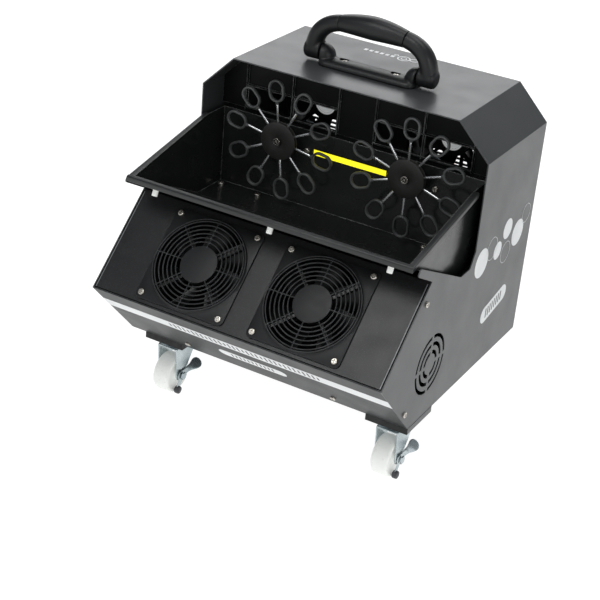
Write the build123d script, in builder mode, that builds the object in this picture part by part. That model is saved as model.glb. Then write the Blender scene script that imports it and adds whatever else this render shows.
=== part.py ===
from build123d import *
import os
from math import cos, hypot, radians, sin, sqrt

os.makedirs("parts", exist_ok=True)

# Driving dimensions in millimetres. The origin is on the floor under the middle of the
# case, +Z is up, -Y is the front and X runs across the machine.

# Case
half_width = 191.0
front_y = -192.5
rear_y = 192.5
foot_y = -109.5
base_z = 85.0
nose_z = 173.5
top_z = 408.0
chamfer_leg = 41.5
hood_y = 22.0
crest_y = -95.0
crest_z = 267.0
sheet = 1.5
inner_half = half_width - sheet
side_cut = [(22.0, 258.0), (12.0, 240.0), (-13.0, 239.5), (-129.0, 295.7), (-134.5, 288.0)]
side_vent = (-70.5, 152.3)
vent_rings = ((32.7, 37.0), (22.6, 27.3), (12.7, 17.3))
rear_flange = 12.0
upstand_h = 18.0
hole_r = 2.1

# Axial fans, four alike
fan_side = 120.0
fan_depth = 38.0
fan_bore = 57.6
fan_hole_pitch = 105.0
fan_hub_r = 22.0
fan_hub_t = 7.0
fan_post_r = 4.0
fan_lip = 4.0
blade_count = 7
front_fan_x = 75.0
front_fan_t = 66.6
rear_fan_x = 89.0
rear_fan_z = 329.0

# Finger guards
guard_side = 119.0
guard_bore = 56.5
guard_t = 2.4
guard_hub_r = 23.0
first_bar_r = 28.2
bar_pitch = 5.2
bar_half = 0.8

# Bubble wheels
wheel_x = 87.0
wheel_z = 315.0
disc_r = 23.8
wand_count = 10
wand_r = 61.8
wand_radial = 29.0
wand_across = 22.0
wand_rim = 3.8
wand_phase = {"left": 25.7, "right": 18.2}
shaft_r = 3.0
front_disc_y = 33.0
star_y = 35.5
star_t = 2.0
disc_t = 2.5

# Tray
tray_half = 178.0
tray_lip = 185.5
tray_sheet = 1.2
tray_wall_y = 55.0
tray_floor_z = 231.5
tray_fold_y = 2.0
tray_front = (-131.0, 293.5)
tray_rear_rim_z = 331.0
rim_out = 7.5
rim_drop = 6.6
floor_screw_x = (-170.0, -116.0, 116.0, 170.0)
floor_screw_y = 44.0
bulkhead_y = 68.0
slot_low = 335.0
slot_high = 361.5
rib_depth = 4.0

# Handle
handle_y = 87.0
pivot_z = 422.0
leg_x = 76.9
leg_hub_r = 12.0
leg_reach = 87.5
base_half = 65.0
base_h = 9.5
ear_low = 49.0
ear_r = 10.5
journal_r = 5.0
handle_screw_x = 34.5

# Casters
caster_at = {
    ("front", "left"): (-147.3, -70.0),
    ("front", "right"): (160.2, -70.0),
    ("rear", "left"): (-120.0, 149.0),
    ("rear", "right"): (120.0, 149.0),
}
pad_mid_x = {
    ("front", "left"): -143.5,
    ("front", "right"): 164.0,
    ("rear", "left"): -120.0,
    ("rear", "right"): 120.0,
}
trail = 15.0
caster_r = 25.0
caster_half_w = 11.2
pad_width = 54.0
pad_length = 62.2
pad_low_z = 77.0
plate_low_z = 74.5
fork_high_z = 65.5
fork_low_z = 63.0
fork_half_w = 14.4
cheek_t = 2.0
axle_r = 3.0
kingpin_r = 5.0
lever_x = 14.8
lever_t = 2.0
running = 0.05


def save(shape, name):
    """Labels one finished piece and writes its file."""
    shape.label = name
    export_step(shape, f"parts/{name}.step")


def group(shapes):
    """Joins like fasteners into one node of separate solids."""
    return Compound([solid for shape in shapes for solid in shape.solids()])


def sheet_outline(path, thickness):
    """Outline of a folded sheet: the path, then the path moved left and mitred."""
    count = len(path)
    moved = []
    for i in range(count):
        steps = []
        if i > 0:
            steps.append((path[i][0] - path[i - 1][0], path[i][1] - path[i - 1][1]))
        if i < count - 1:
            steps.append((path[i + 1][0] - path[i][0], path[i + 1][1] - path[i][1]))
        lefts = [(-b / hypot(a, b), a / hypot(a, b)) for a, b in steps]
        sum_x = sum(n[0] for n in lefts)
        sum_y = sum(n[1] for n in lefts)
        scale = thickness * len(lefts) / (sum_x**2 + sum_y**2)
        moved.append((path[i][0] + sum_x * scale, path[i][1] + sum_y * scale))
    return path + moved[::-1]


def side_prism(points, low_x, high_x):
    """Solid between two X values from an outline in Y and Z."""
    with BuildPart() as prism:
        with BuildSketch(Plane.YZ.offset(low_x)):
            with BuildLine():
                Polyline(points, close=True)
            make_face()
        extrude(amount=high_x - low_x)
    return prism.part


def block(low, high):
    """Box between two opposite corners."""
    centre = [(a + b) / 2 for a, b in zip(low, high)]
    size = [b - a for a, b in zip(low, high)]
    return Pos(*centre) * Box(*size, mode=Mode.PRIVATE)


def rod(start, direction, radius, length):
    """Cylinder from a start point along a direction."""
    return Plane(origin=start, z_dir=direction) * Cylinder(
        radius, length, align=(Align.CENTER, Align.CENTER, Align.MIN), mode=Mode.PRIVATE
    )


def pan_screw(plane, head_r, head_h, shank_r, length):
    """Pan-head screw seated on a plane, its shank going in below the plane."""
    with BuildPart() as screw:
        Cylinder(head_r, head_h, align=(Align.CENTER, Align.CENTER, Align.MIN))
        fillet(screw.edges().group_by(Axis.Z)[-1], head_h * 0.45)
        Cylinder(shank_r, length, align=(Align.CENTER, Align.CENTER, Align.MAX))
        with Locations((0, 0, head_h)):
            Box(head_r * 1.2, head_r * 0.26, head_h, mode=Mode.SUBTRACT)
            Box(head_r * 0.26, head_r * 1.2, head_h, mode=Mode.SUBTRACT)
    return plane * screw.part


def section(inset, low_z):
    """Case cross-section in X and Z, moved in by an inset, as a list of corners."""
    reach = half_width - inset
    peak = top_z - inset
    diagonal = half_width + top_z - chamfer_leg - inset * sqrt(2)
    return [
        (-reach, low_z),
        (-reach, diagonal - reach),
        (peak - diagonal, peak),
        (diagonal - peak, peak),
        (reach, diagonal - reach),
        (reach, low_z),
    ]


def case_prism(inset, low_z, low_y, high_y):
    """Solid of the case section between two Y values."""
    with BuildPart() as prism:
        with BuildSketch(Plane.XZ.offset(-high_y)):
            with BuildLine():
                Polyline(section(inset, low_z), close=True)
            make_face()
        extrude(amount=high_y - low_y)
    return prism.part


# Planes of the two sloping front faces. Local Y runs up each slope.
slope = (crest_y - front_y, crest_z - nose_z)
slope_length = hypot(*slope)
up_y, up_z = slope[0] / slope_length, slope[1] / slope_length
fan_face = Plane(origin=(0, front_y, nose_z), x_dir=(1, 0, 0), z_dir=(0, -up_z, up_y))
strip = (foot_y - front_y, base_z - nose_z)
strip_length = hypot(*strip)
strip_y, strip_z = strip[0] / strip_length, strip[1] / strip_length
strip_face = Plane(
    origin=(0, front_y, nose_z), x_dir=(1, 0, 0), z_dir=(0, strip_z, -strip_y)
)

side_screws = [(-103.0, 242.5), (-125.0, 112.0)]
strip_screws = [(-100.0, 103.0), (100.0, 103.0)]
rear_screws = [(x, z) for x in (-183.5, 183.5) for z in (120.0, 250.0)]
rear_screws += [(-100.0, 400.5), (100.0, 400.5)]
corners = [(a * fan_hole_pitch / 2, b * fan_hole_pitch / 2) for a in (-1, 1) for b in (-1, 1)]
sides = {"left": -1, "right": 1}

# Outer cover: both sides, the chamfers and the hood, folded from one sheet
side_outline = [
    (foot_y, base_z),
    (front_y, nose_z),
    (crest_y, crest_z),
    *side_cut[::-1],
    (hood_y, top_z),
    (rear_y, top_z),
    (rear_y, base_z),
]
with BuildPart() as outer_cover:
    add(case_prism(0, base_z, front_y, rear_y))
    add(case_prism(sheet, base_z - 1, front_y - 1, rear_y + 1), mode=Mode.SUBTRACT)
    add(side_prism(side_outline, -half_width - 1, half_width + 1), mode=Mode.INTERSECT)
    with BuildSketch(Plane.YZ.offset(-half_width - 1)):
        with Locations(side_vent):
            for inner_r, outer_r in vent_rings:
                Circle(outer_r)
                Circle(inner_r, mode=Mode.SUBTRACT)
            Rectangle(80, 4.6, mode=Mode.SUBTRACT)
            Rectangle(4.6, 80, mode=Mode.SUBTRACT)
    extrude(amount=2 * half_width + 2, mode=Mode.SUBTRACT)
    with BuildSketch(Plane.YZ.offset(-half_width - 1)):
        with Locations(*side_screws):
            Circle(hole_r)
    extrude(amount=2 * half_width + 2, mode=Mode.SUBTRACT)
    add(case_prism(sheet, base_z + 6, rear_y - 2 * sheet, rear_y - sheet))
    add(
        case_prism(sheet + rear_flange, base_z - 2, rear_y - 6, rear_y - sheet + 0.5),
        mode=Mode.SUBTRACT,
    )
    with BuildSketch(Plane.XZ.offset(-rear_y)):
        with Locations(*rear_screws):
            Circle(1.9)
    extrude(amount=8, mode=Mode.SUBTRACT)
    picked = [
        edge
        for edge in outer_cover.edges().filter_by(Axis.X)
        if min(hypot(edge.center().Y - y, edge.center().Z - z) for y, z in side_cut) < 0.5
    ]
    fillet(picked, 3.0)
save(outer_cover.part, "outer_cover")

# Base pan: floor and lower front strip from one sheet, with upstands for the cover
pan_path = [(rear_y - 3.2, base_z), (foot_y, base_z), (front_y, nose_z)]
with BuildPart() as base_pan:
    pan_outline = sheet_outline(pan_path[::-1], sheet)
    add(side_prism(pan_outline, -inner_half, inner_half))
    upstand_top = (front_y + 2.4 * strip_y, nose_z + 2.4 * strip_z)
    upstand = sheet_outline([upstand_top, pan_path[1], (rear_y - 5, base_z)], upstand_h)
    for low_x in (-inner_half, inner_half - sheet):
        add(side_prism(upstand, low_x, low_x + sheet))
    with BuildSketch(Plane.YZ.offset(-half_width - 1)):
        with Locations(side_screws[1]):
            Circle(1.8)
    extrude(amount=2 * half_width + 2, mode=Mode.SUBTRACT)
    with BuildSketch(strip_face):
        with Locations(*[(x, -t) for x, t in strip_screws]):
            Circle(hole_r)
    extrude(amount=-4, mode=Mode.SUBTRACT)
save(base_pan.part, "base_pan")

# Fan panel: sloping front with two air openings and folded edges
with BuildPart() as fan_panel:
    with BuildSketch(fan_face):
        with Locations((0, (1.6 + slope_length - 1.2) / 2)):
            Rectangle(2 * inner_half, slope_length - 2.8)
        for x in (-front_fan_x, front_fan_x):
            with Locations((x, front_fan_t)):
                Circle(guard_bore, mode=Mode.SUBTRACT)
                with Locations(*corners):
                    Circle(hole_r, mode=Mode.SUBTRACT)
    extrude(amount=-sheet)
    with BuildSketch(fan_face):
        with Locations((0, slope_length - 1.95)):
            Rectangle(2 * inner_half, sheet)
    extrude(amount=-14)
    with BuildSketch(fan_face):
        for x in (-inner_half + sheet / 2, inner_half - sheet / 2):
            with Locations((x, (22 + slope_length - 1.2) / 2)):
                Rectangle(sheet, slope_length - 23.2)
    extrude(amount=-20)
    with BuildSketch(Plane.YZ.offset(-half_width - 1)):
        with Locations(side_screws[0]):
            Circle(1.8)
    extrude(amount=2 * half_width + 2, mode=Mode.SUBTRACT)
save(fan_panel.part, "fan_panel")

# Tray: floor, ramp, back wall and side walls with a turned-down rim
tray_back = tray_wall_y + tray_sheet
front_rim_z = tray_front[1] + 5.0
inside = [
    (tray_wall_y, tray_rear_rim_z + 60),
    (tray_wall_y, tray_floor_z),
    (tray_fold_y, tray_floor_z),
    tray_front,
    (tray_front[0], tray_rear_rim_z + 60),
]
outside = [
    (tray_back, tray_rear_rim_z),
    (tray_back, tray_floor_z - tray_sheet),
    (tray_fold_y - 0.3, tray_floor_z - tray_sheet),
    (tray_front[0] - tray_sheet, tray_front[1] - 0.8),
    (tray_front[0] - tray_sheet, front_rim_z),
    (18.0, tray_rear_rim_z),
]
rim_low = tray_sheet
rim = [(tray_front[0] - rim_out, front_rim_z - rim_low), (18.0, tray_rear_rim_z - rim_low)]
shaft_holes = [(side * wheel_x, wheel_z) for side in sides.values()]
motor_holes = [(side * wheel_x + d, wheel_z - 11) for side in sides.values() for d in (-30, 30)]
with BuildPart() as tray:
    add(side_prism(outside, -tray_half - tray_sheet, tray_half + tray_sheet))
    add(side_prism(inside, -tray_half, tray_half), mode=Mode.SUBTRACT)
    for low_x, edge_x in ((tray_half + 0.6, tray_lip - tray_sheet), (-tray_lip, -tray_lip)):
        band = rim + [(y, z + rim_low) for y, z in rim[::-1]]
        add(side_prism(band, low_x, low_x + tray_lip - tray_half - 0.6))
        turned = [(y, z - rim_drop + 1.0) for y, z in rim] + band[2:]
        add(side_prism(turned, edge_x, edge_x + tray_sheet))
    lip_low = (-tray_lip, tray_front[0] - rim_out, front_rim_z - rim_low)
    add(block(lip_low, (tray_lip, tray_front[0] - 0.6, front_rim_z)))
    lip_low = (-tray_lip, tray_front[0] - rim_out, front_rim_z - rim_drop)
    add(block(lip_low, (tray_lip, tray_front[0] - rim_out + tray_sheet, front_rim_z)))
    ledge_low = (-tray_half - tray_sheet, tray_wall_y, tray_rear_rim_z - tray_sheet)
    add(block(ledge_low, (tray_half + tray_sheet, bulkhead_y + 10, tray_rear_rim_z)))
    with BuildSketch(Plane.XZ.offset(-tray_wall_y + 1)):
        with Locations(*shaft_holes):
            Circle(5.0)
        with Locations(*motor_holes):
            Circle(hole_r)
    extrude(amount=-4, mode=Mode.SUBTRACT)
    with BuildSketch(Plane.XY.offset(tray_floor_z + 1)):
        with Locations(*[(x, floor_screw_y) for x in floor_screw_x]):
            Circle(hole_r)
    extrude(amount=-4, mode=Mode.SUBTRACT)
save(tray.part, "tray")

floor_planes = [Plane(origin=(x, floor_screw_y, tray_floor_z)) for x in floor_screw_x]
save(group([pan_screw(p, 4.2, 2.6, 2.0, 5.0) for p in floor_planes]), "tray_screws")

# White stand-off feet under the front of the ramp
ramp_low, ramp_high = outside[2], outside[3]
ramp_dir = Vector(0, ramp_low[0] - ramp_high[0], ramp_low[1] - ramp_high[1]).normalized()
ramp_down = Vector(0, ramp_dir.Z, -ramp_dir.Y)
feet = []
for x in (-151.5, 3.5, 155.0):
    start = Vector(x, *ramp_high) + ramp_dir * 7.2
    with BuildPart(Plane(origin=start, z_dir=ramp_down)) as foot:
        Cylinder(4.6, 3, align=(Align.CENTER, Align.CENTER, Align.MIN))
        Cylinder(3.4, 11, align=(Align.CENTER, Align.CENTER, Align.MIN))
        fillet(foot.edges().filter_by(GeomType.CIRCLE).sort_by(Axis.Z)[0], 0.8)
    feet.append(foot.part)
save(group(feet), "tray_feet")

# Fill-level label on the tray's back wall
with BuildPart() as level_label:
    add(block((-47.5, tray_wall_y - 0.3, 301.5), (51.5, tray_wall_y, 308.5)))
save(level_label.part, "level_label")

# Bulkhead above the tray with four air slots and upright ribs
with BuildPart() as bulkhead:
    add(case_prism(sheet, tray_rear_rim_z, bulkhead_y, bulkhead_y + sheet))
    for near, far in ((26.5, 87.5), (90.5, 152.5)):
        for side in sides.values():
            low_x, high_x = sorted((side * near, side * far))
            cut = block((low_x, bulkhead_y - 1, slot_low), (high_x, bulkhead_y + 5, slot_high))
            add(cut, mode=Mode.SUBTRACT)
    for x in (25, 89, 154):
        for side in sides.values():
            peak = top_z - sheet - 0.05 - max(0, x - half_width + chamfer_leg + 1.5)
            low = (side * x - 0.6, bulkhead_y - rib_depth, tray_rear_rim_z + 0.2)
            add(block(low, (side * x + 0.6, bulkhead_y, peak)))
    for side in sides.values():
        low_x, high_x = sorted((side * 25, side * 154))
        for lip_z in (slot_low - tray_sheet, slot_high):
            low = (low_x, bulkhead_y - rib_depth, lip_z)
            add(block(low, (high_x, bulkhead_y, lip_z + tray_sheet)))
save(bulkhead.part, "bulkhead")

# Rear panel with fan grilles and cut-outs for the electrical parts
switch_at = (-130.0, 140.0)
inlet_at = (-80.0, 140.0)
fuse_at = (-42.0, 140.0)
socket_at = (120.0, 140.0)
with BuildPart() as rear_panel:
    add(case_prism(sheet, base_z, rear_y - sheet, rear_y))
    with BuildSketch(Plane.XZ.offset(-rear_y)):
        for x in (-rear_fan_x, rear_fan_x):
            for k in range(-8, 9):
                chord = sqrt(54.0**2 - (6 * k) ** 2)
                with Locations((x, rear_fan_z + 6 * k)):
                    SlotOverall(2 * chord, 3.0)
            with Locations((x, rear_fan_z)):
                Rectangle(5, 112, mode=Mode.SUBTRACT)
            with Locations(*[(x + a, rear_fan_z + b) for a, b in corners]):
                Circle(hole_r)
        with Locations(switch_at):
            Rectangle(27.4, 21.4)
        with Locations(inlet_at):
            Rectangle(28.4, 20.4)
        with Locations(fuse_at):
            Circle(6.6)
        with Locations(socket_at):
            Circle(9.2)
        with Locations(*rear_screws):
            Circle(hole_r)
    extrude(amount=4, mode=Mode.SUBTRACT)
save(rear_panel.part, "rear_panel")


def fan_frame(plane):
    """Fan housing. Local Z is the air direction and the outlet face is at zero."""
    with BuildPart() as frame:
        with BuildSketch(Plane.XY.offset(-fan_depth)):
            RectangleRounded(fan_side, fan_side, 7)
            Circle(fan_bore, mode=Mode.SUBTRACT)
            with Locations(*corners):
                Circle(2.2, mode=Mode.SUBTRACT)
        extrude(amount=fan_depth)
        with BuildSketch(Plane.XY.offset(fan_lip - fan_depth)):
            Rectangle(fan_side + 2, fan_side + 2)
            Circle(fan_bore + 2.0, mode=Mode.SUBTRACT)
        extrude(amount=fan_depth - 2 * fan_lip, mode=Mode.SUBTRACT)
        Cylinder(fan_hub_r, fan_hub_t, align=(Align.CENTER, Align.CENTER, Align.MAX))
        with PolarLocations(40, 4, start_angle=45):
            with Locations((0, 0, -3.5)):
                Box(37, 4, 4)
        with Locations((0, 0, -fan_hub_t)):
            Cylinder(fan_post_r, 26, align=(Align.CENTER, Align.CENTER, Align.MAX))
    return plane * frame.part


def fan_rotor(plane):
    """Bladed rotor that turns on the housing's post."""
    with BuildPart() as rotor:
        with Locations((0, 0, -fan_hub_t - 0.5)):
            Cylinder(fan_hub_r, 27, align=(Align.CENTER, Align.CENTER, Align.MAX))
        fillet(rotor.edges().group_by(Axis.Z)[0], 3)
        for k in range(blade_count):
            blade = Pos(38.5, 0, -21) * Rot(X=38) * Box(35.4, 30, 1.8, mode=Mode.PRIVATE)
            add(Rot(Z=k * 360 / blade_count) * blade)
        Cylinder(fan_post_r + running, 80, mode=Mode.SUBTRACT)
    return plane * rotor.part


def fan_guard(plane):
    """Square finger guard with concentric bars, eight spokes and a middle disc."""
    with BuildPart() as guard:
        with BuildSketch():
            RectangleRounded(guard_side, guard_side, 6)
            Circle(guard_bore, mode=Mode.SUBTRACT)
            with Locations(*corners):
                Circle(2.2, mode=Mode.SUBTRACT)
        extrude(amount=guard_t)
        with BuildSketch():
            Circle(guard_bore + 1.5)
            Circle(guard_bore - 0.5, mode=Mode.SUBTRACT)
        extrude(amount=6.0)
        with BuildSketch(Plane.XY.offset(3.2)):
            Circle(guard_hub_r)
            for k in range(6):
                ring = first_bar_r + bar_pitch * k
                with BuildSketch(mode=Mode.PRIVATE) as bar:
                    Circle(ring + bar_half)
                    Circle(ring - bar_half, mode=Mode.SUBTRACT)
                add(bar.sketch)
        extrude(amount=2.6)
        with PolarLocations(39.5, 8):
            with Locations((0, 0, 4.4)):
                Box(36, 1.5, 2.0)
    return plane * guard.part


front_screw_planes = []
for side_name, side in sides.items():
    origin = fan_face.from_local_coords((side * front_fan_x, front_fan_t, 0))
    surface = Plane(origin=origin, x_dir=(1, 0, 0), z_dir=fan_face.z_dir)
    save(fan_guard(surface), f"fan_guard_{side_name}")
    save(fan_frame(surface.offset(-sheet)), f"front_fan_frame_{side_name}")
    save(fan_rotor(surface.offset(-sheet)), f"front_fan_rotor_{side_name}")
    for x, t in corners:
        seat = surface.from_local_coords((x, t, guard_t))
        front_screw_planes.append(Plane(origin=seat, x_dir=(1, 0, 0), z_dir=fan_face.z_dir))
save(
    group([pan_screw(p, 3.8, 2.4, 2.0, 9.0) for p in front_screw_planes]),
    "front_fan_screws",
)

rear_screw_planes = []
for side_name, side in sides.items():
    origin = (side * rear_fan_x, rear_y - sheet - fan_depth, rear_fan_z)
    outlet = Plane(origin=origin, x_dir=(1, 0, 0), z_dir=(0, -1, 0))
    save(fan_frame(outlet), f"rear_fan_frame_{side_name}")
    save(fan_rotor(outlet), f"rear_fan_rotor_{side_name}")
    for x, z in corners:
        seat = (side * rear_fan_x + x, rear_y, rear_fan_z + z)
        rear_screw_planes.append(Plane(origin=seat, x_dir=(1, 0, 0), z_dir=(0, 1, 0)))
save(group([pan_screw(p, 3.8, 2.4, 2.0, 6.0) for p in rear_screw_planes]), "rear_fan_screws")

# Bubble wheels: two discs clamp a star of flat spokes, each carrying an oval wand
for side_name, side in sides.items():
    centre = (side * wheel_x, 0, wheel_z)
    face = Plane(origin=centre, x_dir=(1, 0, 0), z_dir=(0, -1, 0))
    phase = wand_phase[side_name]
    with BuildPart() as star:
        with BuildSketch(face.offset(-star_y - star_t)):
            Circle(12)
            with PolarLocations(30.5, wand_count, start_angle=phase):
                Rectangle(39, 3.0)
            Circle(shaft_r, mode=Mode.SUBTRACT)
        extrude(amount=star_t)
    save(star.part, f"wand_star_{side_name}")
    with BuildPart() as wands:
        with BuildSketch(face.offset(-star_y - star_t / 2 - 2.4)):
            with PolarLocations(wand_r, wand_count, start_angle=phase):
                SlotOverall(wand_radial, wand_across)
            with PolarLocations(46.8, wand_count, start_angle=phase):
                Rectangle(4.0, 5.4)
            with PolarLocations(wand_r, wand_count, start_angle=phase):
                SlotOverall(
                    wand_radial - 2 * wand_rim,
                    wand_across - 2 * wand_rim,
                    mode=Mode.SUBTRACT,
                )
        extrude(amount=4.8)
        add(star.part, mode=Mode.SUBTRACT)
    save(wands.part, f"wands_{side_name}")
    with BuildPart() as front_disc:
        with BuildSketch(face.offset(-star_y)):
            Circle(disc_r)
            Circle(shaft_r, mode=Mode.SUBTRACT)
        extrude(amount=star_y - front_disc_y)
    save(front_disc.part, f"wheel_disc_front_{side_name}")
    with BuildPart() as back_disc:
        with BuildSketch(face.offset(-star_y - star_t - disc_t)):
            Circle(disc_r)
            Circle(shaft_r, mode=Mode.SUBTRACT)
        extrude(amount=disc_t)
    save(back_disc.part, f"wheel_disc_back_{side_name}")
    with BuildPart() as shaft:
        with BuildSketch(face.offset(-66.0)):
            Circle(shaft_r)
        extrude(amount=36.0)
        with BuildSketch(face.offset(-front_disc_y)):
            Circle(4.6)
        extrude(amount=2.6)
        with BuildSketch(face.offset(-44.0)):
            Circle(6.0)
        extrude(amount=4.0)
        with BuildSketch(face.offset(2.0 - front_disc_y)):
            Rectangle(6.4, 1.2)
            Rectangle(1.2, 6.4)
        extrude(amount=3.0, mode=Mode.SUBTRACT)
    save(shaft.part, f"wheel_shaft_{side_name}")
    x = side * wheel_x
    with BuildPart() as gear_motor:
        add(block((x - 37, tray_back, 272), (x + 37, tray_back + 24, 329.5)))
        add(rod((x, tray_back + 24, 298), (0, 1, 0), 21, 30))
        add(rod((x, tray_back - 1, wheel_z), (0, 1, 0), shaft_r + running, 14), mode=Mode.SUBTRACT)
        for shift in (-30, 30):
            hole = rod((x + shift, tray_back - 1, wheel_z - 11), (0, 1, 0), 2.0 + running, 12)
            add(hole, mode=Mode.SUBTRACT)
    save(gear_motor.part, f"gear_motor_{side_name}")
motor_planes = [
    Plane(origin=(x, tray_wall_y, z), x_dir=(1, 0, 0), z_dir=(0, -1, 0)) for x, z in motor_holes
]
save(group([pan_screw(p, 4.0, 2.8, 2.0, 9.0) for p in motor_planes]), "motor_screws")

# Control board on stand-offs above the floor
with BuildPart() as control_board:
    floor_top = base_z + sheet
    for x in (20, 120):
        for y in (100, 160):
            add(rod((x, y, floor_top), (0, 0, 1), 3, 8.2))
    add(block((12, 92, floor_top + 8), (128, 168, floor_top + 9.6)))
    add(block((22, 104, floor_top + 9.6), (64, 138, floor_top + 42)))
    add(block((78, 104, floor_top + 9.6), (98, 124, floor_top + 26)))
    add(rod((110, 146, floor_top + 9.6), (0, 0, 1), 8, 26))
    add(rod((86, 148, floor_top + 9.6), (0, 0, 1), 6, 20))
save(control_board.part, "control_board")

# Electrical parts on the rear panel
with BuildPart() as power_switch:
    x, z = switch_at
    add(block((x - 16, rear_y, z - 13), (x + 16, rear_y + 2.2, z + 13)))
    add(block((x - 13.6, rear_y - 22, z - 10.6), (x + 13.6, rear_y, z + 10.6)))
    add(
        block((x - 11, rear_y - 14, z - 8.6), (x + 11, rear_y + 3, z + 8.6)),
        mode=Mode.SUBTRACT,
    )
    pivot = rod((x - 12.6, rear_y - 4, z), (1, 0, 0), 1.5 + running, 25.2)
    add(pivot, mode=Mode.SUBTRACT)
save(power_switch.part, "power_switch")
with BuildPart() as power_rocker:
    profile = [(-4.5, -4.0), (-4.5, 4.0), (5.2, 7.2), (3.4, 0.0), (5.2, -7.2)]
    turned = [
        (
            rear_y - 4 + a * cos(radians(10)) - b * sin(radians(10)),
            z + a * sin(radians(10)) + b * cos(radians(10)),
        )
        for a, b in profile
    ]
    add(side_prism(turned, x - 10.6, x + 10.6))
    add(rod((x - 12.4, rear_y - 4, z), (1, 0, 0), 1.5, 24.8))
save(power_rocker.part, "power_rocker")
with BuildPart() as mains_inlet:
    x, z = inlet_at
    add(block((x - 20, rear_y, z - 15), (x + 20, rear_y + 2.5, z + 15)))
    add(block((x - 14, rear_y - 20, z - 10), (x + 14, rear_y, z + 10)))
    add(
        block((x - 12, rear_y - 14, z - 8), (x + 12, rear_y + 3, z + 8)), mode=Mode.SUBTRACT
    )
    for dx, dz in ((-7, -1), (0, 2.5), (7, -1)):
        low = (x + dx - 1, rear_y - 15, z + dz - 2)
        add(block(low, (x + dx + 1, rear_y - 2, z + dz + 2)))
save(mains_inlet.part, "mains_inlet")
with BuildPart() as fuse_holder:
    x, z = fuse_at
    add(rod((x, rear_y, z), (0, 1, 0), 9, 2))
    add(rod((x, rear_y - 22, z), (0, 1, 0), 6.5, 22))
    add(rod((x, rear_y + 2, z), (0, 1, 0), 7, 5))
    low = (x - 5, rear_y + 6, z - 0.8)
    add(block(low, (x + 5, rear_y + 8, z + 0.8)), mode=Mode.SUBTRACT)
save(fuse_holder.part, "fuse_holder")
with BuildPart() as remote_socket:
    x, z = socket_at
    add(rod((x, rear_y, z), (0, 1, 0), 11.5, 2))
    add(rod((x, rear_y - 14, z), (0, 1, 0), 9, 14))
    add(rod((x, rear_y - 6, z), (0, 1, 0), 7.2, 9), mode=Mode.SUBTRACT)
    for angle in (0, 45, 90, 135, 180):
        dx, dz = 4.2 * cos(radians(angle)), 4.2 * sin(radians(angle))
        add(rod((x + dx, rear_y - 10, z + dz), (0, 1, 0), 0.7, 5), mode=Mode.SUBTRACT)
save(remote_socket.part, "remote_socket")

# Carrying handle: a fixed base with two ears and a folding bail in three pieces
with BuildPart() as handle_base:
    with BuildSketch(Plane.XY.offset(top_z)):
        with Locations((0, handle_y)):
            RectangleRounded(2 * base_half, 35, 9)
    extrude(amount=base_h)
    fillet(handle_base.edges().group_by(Axis.Z)[-1], 3.5)
    for low_x in (-base_half, ear_low):
        add(rod((low_x, handle_y, pivot_z), (1, 0, 0), ear_r, base_half - ear_low))
        low = (low_x, handle_y - ear_r, top_z)
        add(block(low, (low_x + base_half - ear_low, handle_y + ear_r, pivot_z)))
    for low_x in (-base_half - 1, base_half - 12):
        journal = rod((low_x, handle_y, pivot_z), (1, 0, 0), journal_r + running, 13)
        add(journal, mode=Mode.SUBTRACT)
    for recess_r, recess_h in ((6.2, base_h / 2), (2.6, base_h + 1)):
        with BuildSketch(Plane.XY.offset(top_z + base_h)):
            with Locations((-handle_screw_x, handle_y), (handle_screw_x, handle_y)):
                Circle(recess_r)
        extrude(amount=-recess_h, mode=Mode.SUBTRACT)
save(handle_base.part, "handle_base")

seat_z = top_z + base_h / 2
handle_seats = [Plane(origin=(x, handle_y, seat_z)) for x in (-handle_screw_x, handle_screw_x)]
save(group([pan_screw(p, 4.6, 2.8, 2.45, 3.9) for p in handle_seats]), "handle_screws")

leg_poles = [(42.8, 460.5), (62.0, 457.5), (leg_x, 446.0), (leg_x, pivot_z)]
leg_sizes = [(9.9, 9.9), (10.6, 10.1), (11.4, 10.4), (leg_hub_r, 10.6)]
for side_name, side in sides.items():
    with BuildPart() as handle_leg:
        with BuildLine(Plane.XZ.offset(-handle_y)) as leg_line:
            Bezier(*[(side * a, b) for a, b in leg_poles])
        for i, (wide, tall) in enumerate(leg_sizes):
            at = i / (len(leg_sizes) - 1)
            tangent = leg_line.line % at
            with BuildSketch(Plane(origin=leg_line.line @ at, x_dir=(0, 1, 0), z_dir=tangent)):
                Ellipse(wide, tall)
        loft()
        inner_x = base_half + 0.4
        hub_at = (side * inner_x, handle_y, pivot_z)
        add(rod(hub_at, (side, 0, 0), leg_hub_r, leg_reach - inner_x))
        outer_edges = handle_leg.edges().filter_by(GeomType.CIRCLE).group_by(Axis.X)
        rim_edges = outer_edges[-1] if side > 0 else outer_edges[0]
        fillet(rim_edges, 4)
        pin_x = side * (base_half - 11.7)
        add(rod((pin_x, handle_y, pivot_z), (side, 0, 0), journal_r, 14))
    save(handle_leg.part, f"handle_leg_{side_name}")
with BuildPart() as handle_grip:
    end_slope = (leg_poles[1][1] - leg_poles[0][1]) / (leg_poles[1][0] - leg_poles[0][0])
    stations = [(-42.8, 460.5), (-22, 463.0), (0, 463.8), (22, 463.0), (42.8, 460.5)]
    sizes = [(9.9, 9.9), (12.5, 12.4), (14.0, 13.6), (12.5, 12.4), (9.9, 9.9)]
    for (x, z), (wide, tall) in zip(stations, sizes):
        axis = (1, 0, end_slope * x / stations[-1][0])
        with BuildSketch(Plane(origin=(x, handle_y, z), x_dir=(0, 1, 0), z_dir=axis)):
            Ellipse(wide, tall)
    loft()
save(handle_grip.part, "handle_grip")

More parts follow.
